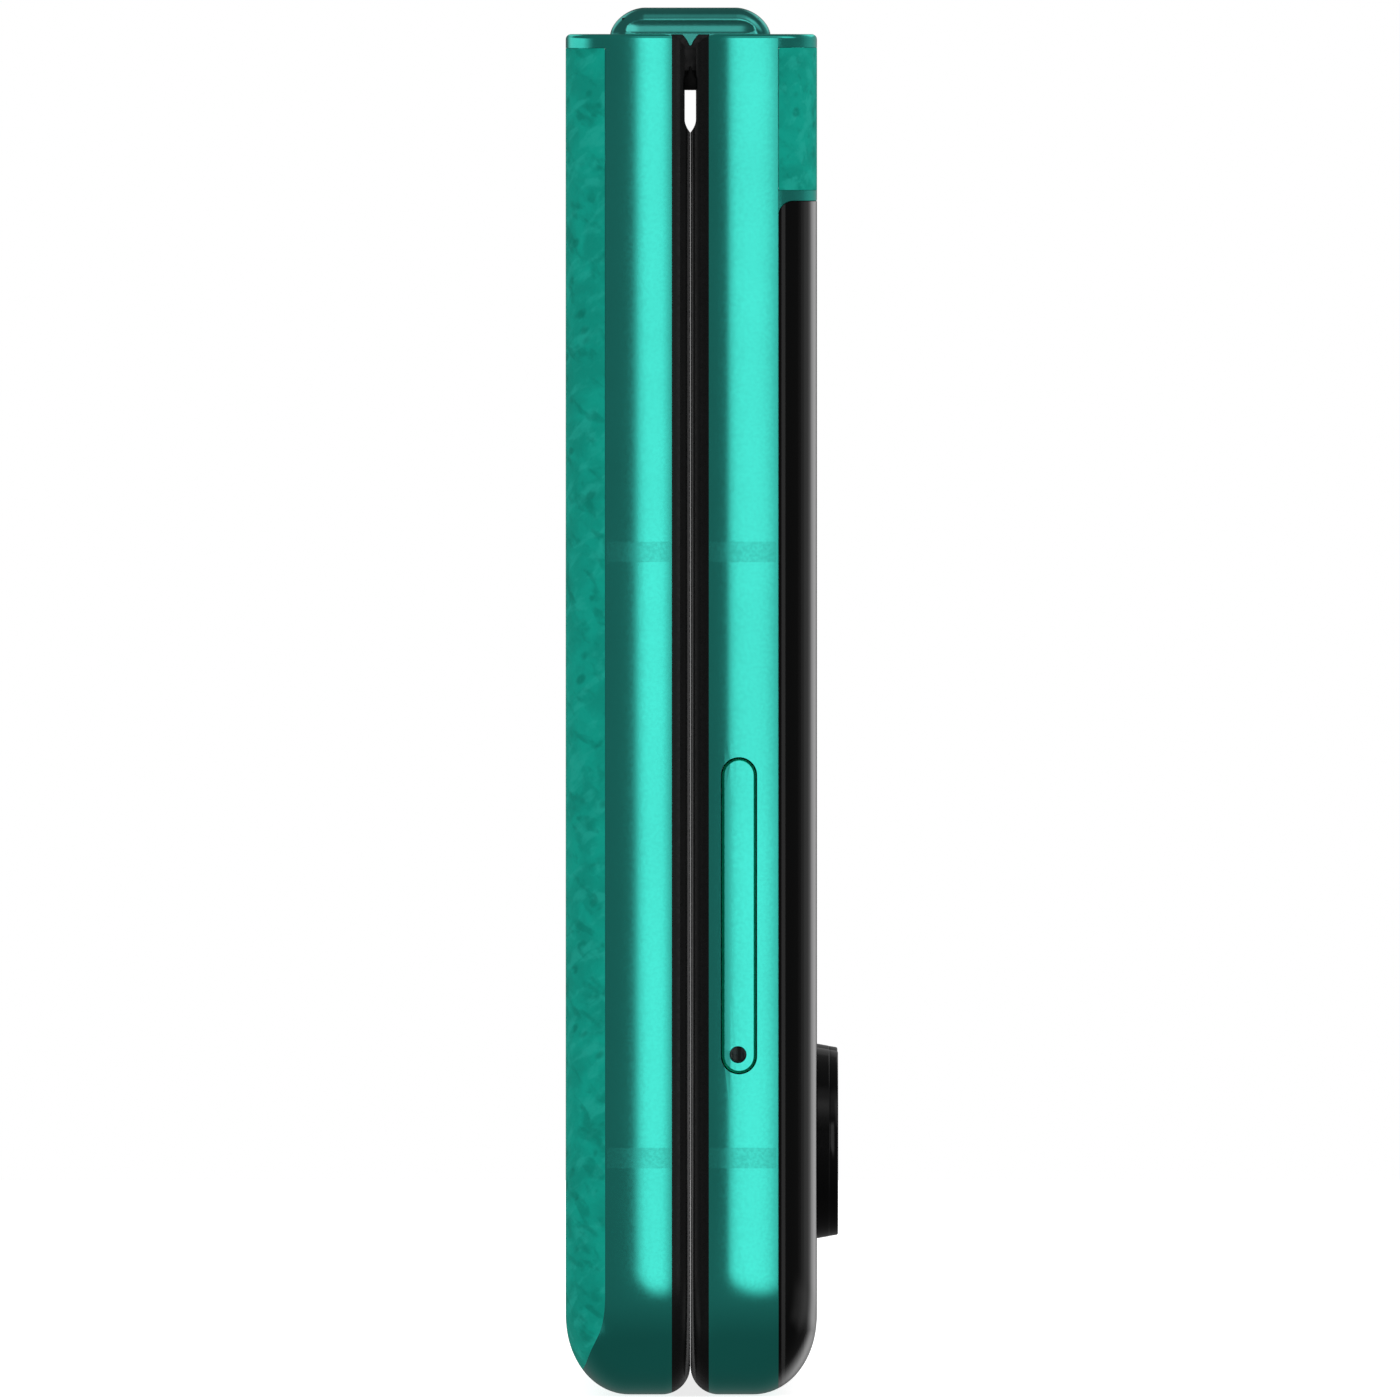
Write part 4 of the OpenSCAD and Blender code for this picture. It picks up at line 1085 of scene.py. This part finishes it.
def lens_coat(name):
    """Coated front glass: dark blue-violet with a soft greenish cast."""
    m, g, p = material(name)
    v = g.coords()
    sm = g.noise(v, 120.0, 3.0)
    g.set(p.inputs["Base Color"], g.mix(g.ramp(sm, 0.4, 0.6), (0.004, 0.005, 0.012, 1), (0.008, 0.006, 0.016, 1)))
    g.set(p.inputs["Roughness"], g.ramp(sm, 0.3, 0.7, 0.015, 0.035))
    p.inputs["Specular IOR Level"].default_value = 0.6
    p.inputs["Coat Weight"].default_value = 0.6
    p.inputs["Coat Roughness"].default_value = 0.02
    p.inputs["Coat Tint"].default_value = (0.6, 0.75, 1.0, 1)
    return m


def clear_window(name):
    """Thin clear lens cover that lets the barrel show."""
    m, g, p = material(name)
    v = g.coords()
    sm = g.noise(v, 90.0, 3.0)
    g.set(p.inputs["Base Color"], g.mix(g.ramp(sm, 0.3, 0.7), (0.5, 0.5, 0.55, 1), (0.6, 0.6, 0.64, 1)))
    g.set(p.inputs["Roughness"], g.ramp(sm, 0.3, 0.7, 0.01, 0.03))
    p.inputs["Transmission Weight"].default_value = 1.0
    p.inputs["IOR"].default_value = 1.45
    return m


def flash_mat(name):
    m, g, p = material(name)
    v = g.coords()
    n = g.noise(v, 1500.0, 2.0)
    g.set(p.inputs["Base Color"], g.mix(g.ramp(n, 0.3, 0.7), (0.72, 0.66, 0.45, 1), (0.85, 0.80, 0.62, 1)))
    g.set(p.inputs["Roughness"], g.ramp(n, 0.3, 0.7, 0.12, 0.22))
    p.inputs["Subsurface Weight"].default_value = 0.2
    p.inputs["Subsurface Radius"].default_value = (0.001, 0.0008, 0.0005)
    return m


METAL = (0.067, 0.80, 0.665)
MATS = {
    "frame_metal": anodised("teal_anodised", METAL, 0.16, inner=(6.4, 35.9, HZ - 0.1, HH - 0.03)),
    "spine_metal": anodised("dark_teal_anodised", (0.085, 0.55, 0.48), 0.17, 0.05,
                            inner=(4.33, HW - 1.67, AZ - 1, AZ + 2.83)),
    "antenna_band": anodised("teal_polymer", (0.066, 0.78, 0.65), 0.215, 0.03, 0.015, 0.03, 0.96),
    "leather": suede("teal_suede"),
    "rim_black": rim_polymer("rim_polymer", (0.0045, 0.005, 0.0052), 0.3),
    "rubber_black": polymer("bumper_rubber", (0.012, 0.012, 0.013), 0.62, 0.1, 0.3, grain=0.12, scale=5200.0),
    "screen": glassy("screen_film", (0.0045, 0.0045, 0.006), 0.09, 0.05),
    # the last argument turns on the painted edge reflections of the glass
    "cover_glass": glassy("cover_glass_black", (0.0008, 0.001, 0.001), 0.045, 0.02, True),
    "lens_glass": lens_coat("coated_lens"),
    "ring_metal": turned("ring_anodised", (0.0015, 0.0015, 0.0017), 0.11),
    "steel": brushed("fine_steel", (0.56, 0.57, 0.58), 0.28),
    "battery": polymer("pouch_foil", (0.03, 0.031, 0.034), 0.42, 0.12, 0.5, grain=0.3, scale=900.0),
    "board": circuit("circuit_board"),
    "gold": brushed("copper_flex", (0.72, 0.42, 0.16), 0.3, axis=1, scale=600.0),
    "plastic_black": polymer("moulded_black", (0.012, 0.012, 0.013), 0.45, 0.1, 0.4, grain=0.15, scale=2600.0),
    "flash": flash_mat("flash_diffuser"),
}
by_node = {s["node"]: s["material_slot"] for s in frame["record"]["subparts"]}
for n, o in frame["nodes"].items():
    mat = MATS[by_node[n]]
    if not o.material_slots:
        o.data.materials.append(mat)
    for s in o.material_slots:
        s.material = mat
for o in PIECES.values():
    o.data.materials.clear()
    o.data.materials.append(MATS[o["slot_name"]])
window = clear_window("clear_lens_cover")
PIECES["lens_window_pair"].data.materials.clear()
PIECES["lens_window_pair"].data.materials.append(window)
PIECES["hinge_tee_caps"].data.materials.clear()
PIECES["hinge_tee_caps"].data.materials.append(polymer("cap_moulding", (0.0009, 0.001, 0.001), 0.4, spec=0.1))

# ---------------------------------------------------------------- world, floor, camera
world = bpy.data.worlds.new("studio")
scene.world = world
world.use_nodes = True
g = Nodes(world.node_tree)
wo = g.add("ShaderNodeOutputWorld")
tc = g.add("ShaderNodeTexCoord")
sep = g.add("ShaderNodeSeparateXYZ")
g.t.links.new(tc.outputs["Generated"], sep.inputs[0])
DEG = 57.29578
az = g.math("MULTIPLY", g.math("ARCTAN2", sep.outputs[0], g.math("MULTIPLY", sep.outputs[1], -1.0)), DEG)
el = g.math("MULTIPLY", g.math("ARCSINE", sep.outputs[2]), DEG)


def window_of(v, lo, hi, s_lo, s_hi=None):
    s_hi = s_lo if s_hi is None else s_hi
    a = g.ramp(v, lo - s_lo / 2, lo + s_lo / 2)
    b = g.ramp(v, hi - s_hi / 2, hi + s_hi / 2, 1.0, 0.0)
    return g.math("MULTIPLY", a, b)


def panel(a0, a1, e0, e1, power, sa=6.0, se=6.0):
    w = g.math("MULTIPLY", window_of(az, a0, a1, sa), window_of(el, e0, e1, se))
    return g.math("MULTIPLY", w, power)


low = g.ramp(el, -8, -60, 0.125, 0.08)
# the tall soft light that draws the bright stripe down each frame, rounded off below
slide = g.ramp(el, -0.9, -13, 0.0, 7.0, smooth=False)
strip = g.math("MULTIPLY", g.ramp(g.math("SUBTRACT", az, slide), -4.6, 1.4), g.ramp(az, 11.8, 18.0, 1.0, 0.0))
strip = g.math("MULTIPLY", strip, g.math("MULTIPLY", g.ramp(el, -18.8, -5.2), g.ramp(el, 22, 29, 1.0, 0.0)))
total = g.math("ADD", low, g.math("MULTIPLY", strip, 0.94))
for p_ in (panel(-132, -58, -4, 11, 0.62, 34, 8), panel(92, 172, -4, 40, 0.20, 50, 6),
           panel(-4, 50, 36, 66, 0.27, 6, 16), panel(24, 60, 22, 52, 0.45, 12, 12),
           panel(-75, -40, -45, -10, 0.35, 14, 12), panel(112, 158, -20, -10, 0.30, 30, 10),
           panel(58, 102, -34, -6, 0.34, 26, 14), panel(-160, -116, 14, 50, 0.5, 14, 12),
           panel(116, 160, 14, 50, 0.5, 14, 12)):
    total = g.math("ADD", total, p_)
bg_gloss = g.add("ShaderNodeBackground")
g.set(bg_gloss.inputs[1], total)
bg_gloss.inputs[0].default_value = (1, 1, 1, 1)
soft = g.math("ADD", 0.74, g.math("ADD", g.math("MULTIPLY", sep.outputs[0], 0.10),
                                  g.math("ADD", g.math("MULTIPLY", sep.outputs[1], -0.06),
                                         g.math("MULTIPLY", sep.outputs[2], 0.20))))
bg_soft = g.add("ShaderNodeBackground")
g.set(bg_soft.inputs[1], soft)
bg_cam = g.add("ShaderNodeBackground")
bg_cam.inputs[1].default_value = 1.0
bg_cam.inputs[0].default_value = (1, 1, 1, 1)
lp = g.add("ShaderNodeLightPath")
mix1 = g.add("ShaderNodeMixShader")
g.t.links.new(lp.outputs["Is Glossy Ray"], mix1.inputs[0])
g.t.links.new(bg_soft.outputs[0], mix1.inputs[1])
g.t.links.new(bg_gloss.outputs[0], mix1.inputs[2])
mix2 = g.add("ShaderNodeMixShader")
g.t.links.new(lp.outputs["Is Camera Ray"], mix2.inputs[0])
g.t.links.new(mix1.outputs[0], mix2.inputs[1])
g.t.links.new(bg_cam.outputs[0], mix2.inputs[2])
g.t.links.new(mix2.outputs[0], wo.inputs[0])

bpy.ops.mesh.primitive_circle_add(vertices=96, radius=0.7, fill_type="NGON", location=(0, 0, -0.00005))
floor = bpy.context.object
floor.name = "studio_floor"
fm, g, p = material("floor_white")
fine = g.noise(g.coords(), 40.0, 2.0)
g.set(p.inputs["Base Color"], g.mix(g.ramp(fine, 0.3, 0.7), (0.80, 0.80, 0.80, 1), (0.82, 0.82, 0.82, 1)))
g.set(p.inputs["Roughness"], 0.9)
p.inputs["Specular IOR Level"].default_value = 0.1
p.inputs["Emission Color"].default_value = (1, 1, 1, 1)
p.inputs["Emission Strength"].default_value = 0.80
floor.data.materials.append(fm)
floor.visible_glossy = False
floor.visible_diffuse = False

cam_data = bpy.data.cameras.new("camera")
cam = bpy.data.objects.new("camera", cam_data)
scene.collection.objects.link(cam)
cam_data.lens = 1500.0
cam_data.sensor_width = 36.0
dist = 88.69 / 36.0 * 1500.0
tilt = math.radians(0.6)
cam.location = (-0.744 * MM, (-36.6 - dist * math.cos(tilt)) * MM, (44.165 + dist * math.sin(tilt)) * MM)
cam.rotation_euler = (math.radians(90) - tilt, 0, 0)
cam_data.shift_x = 0.0069
cam_data.clip_start, cam_data.clip_end = 0.05, 20.0
scene.camera = cam
scene.view_settings.view_transform = "Standard"
scene.view_settings.look = "None"
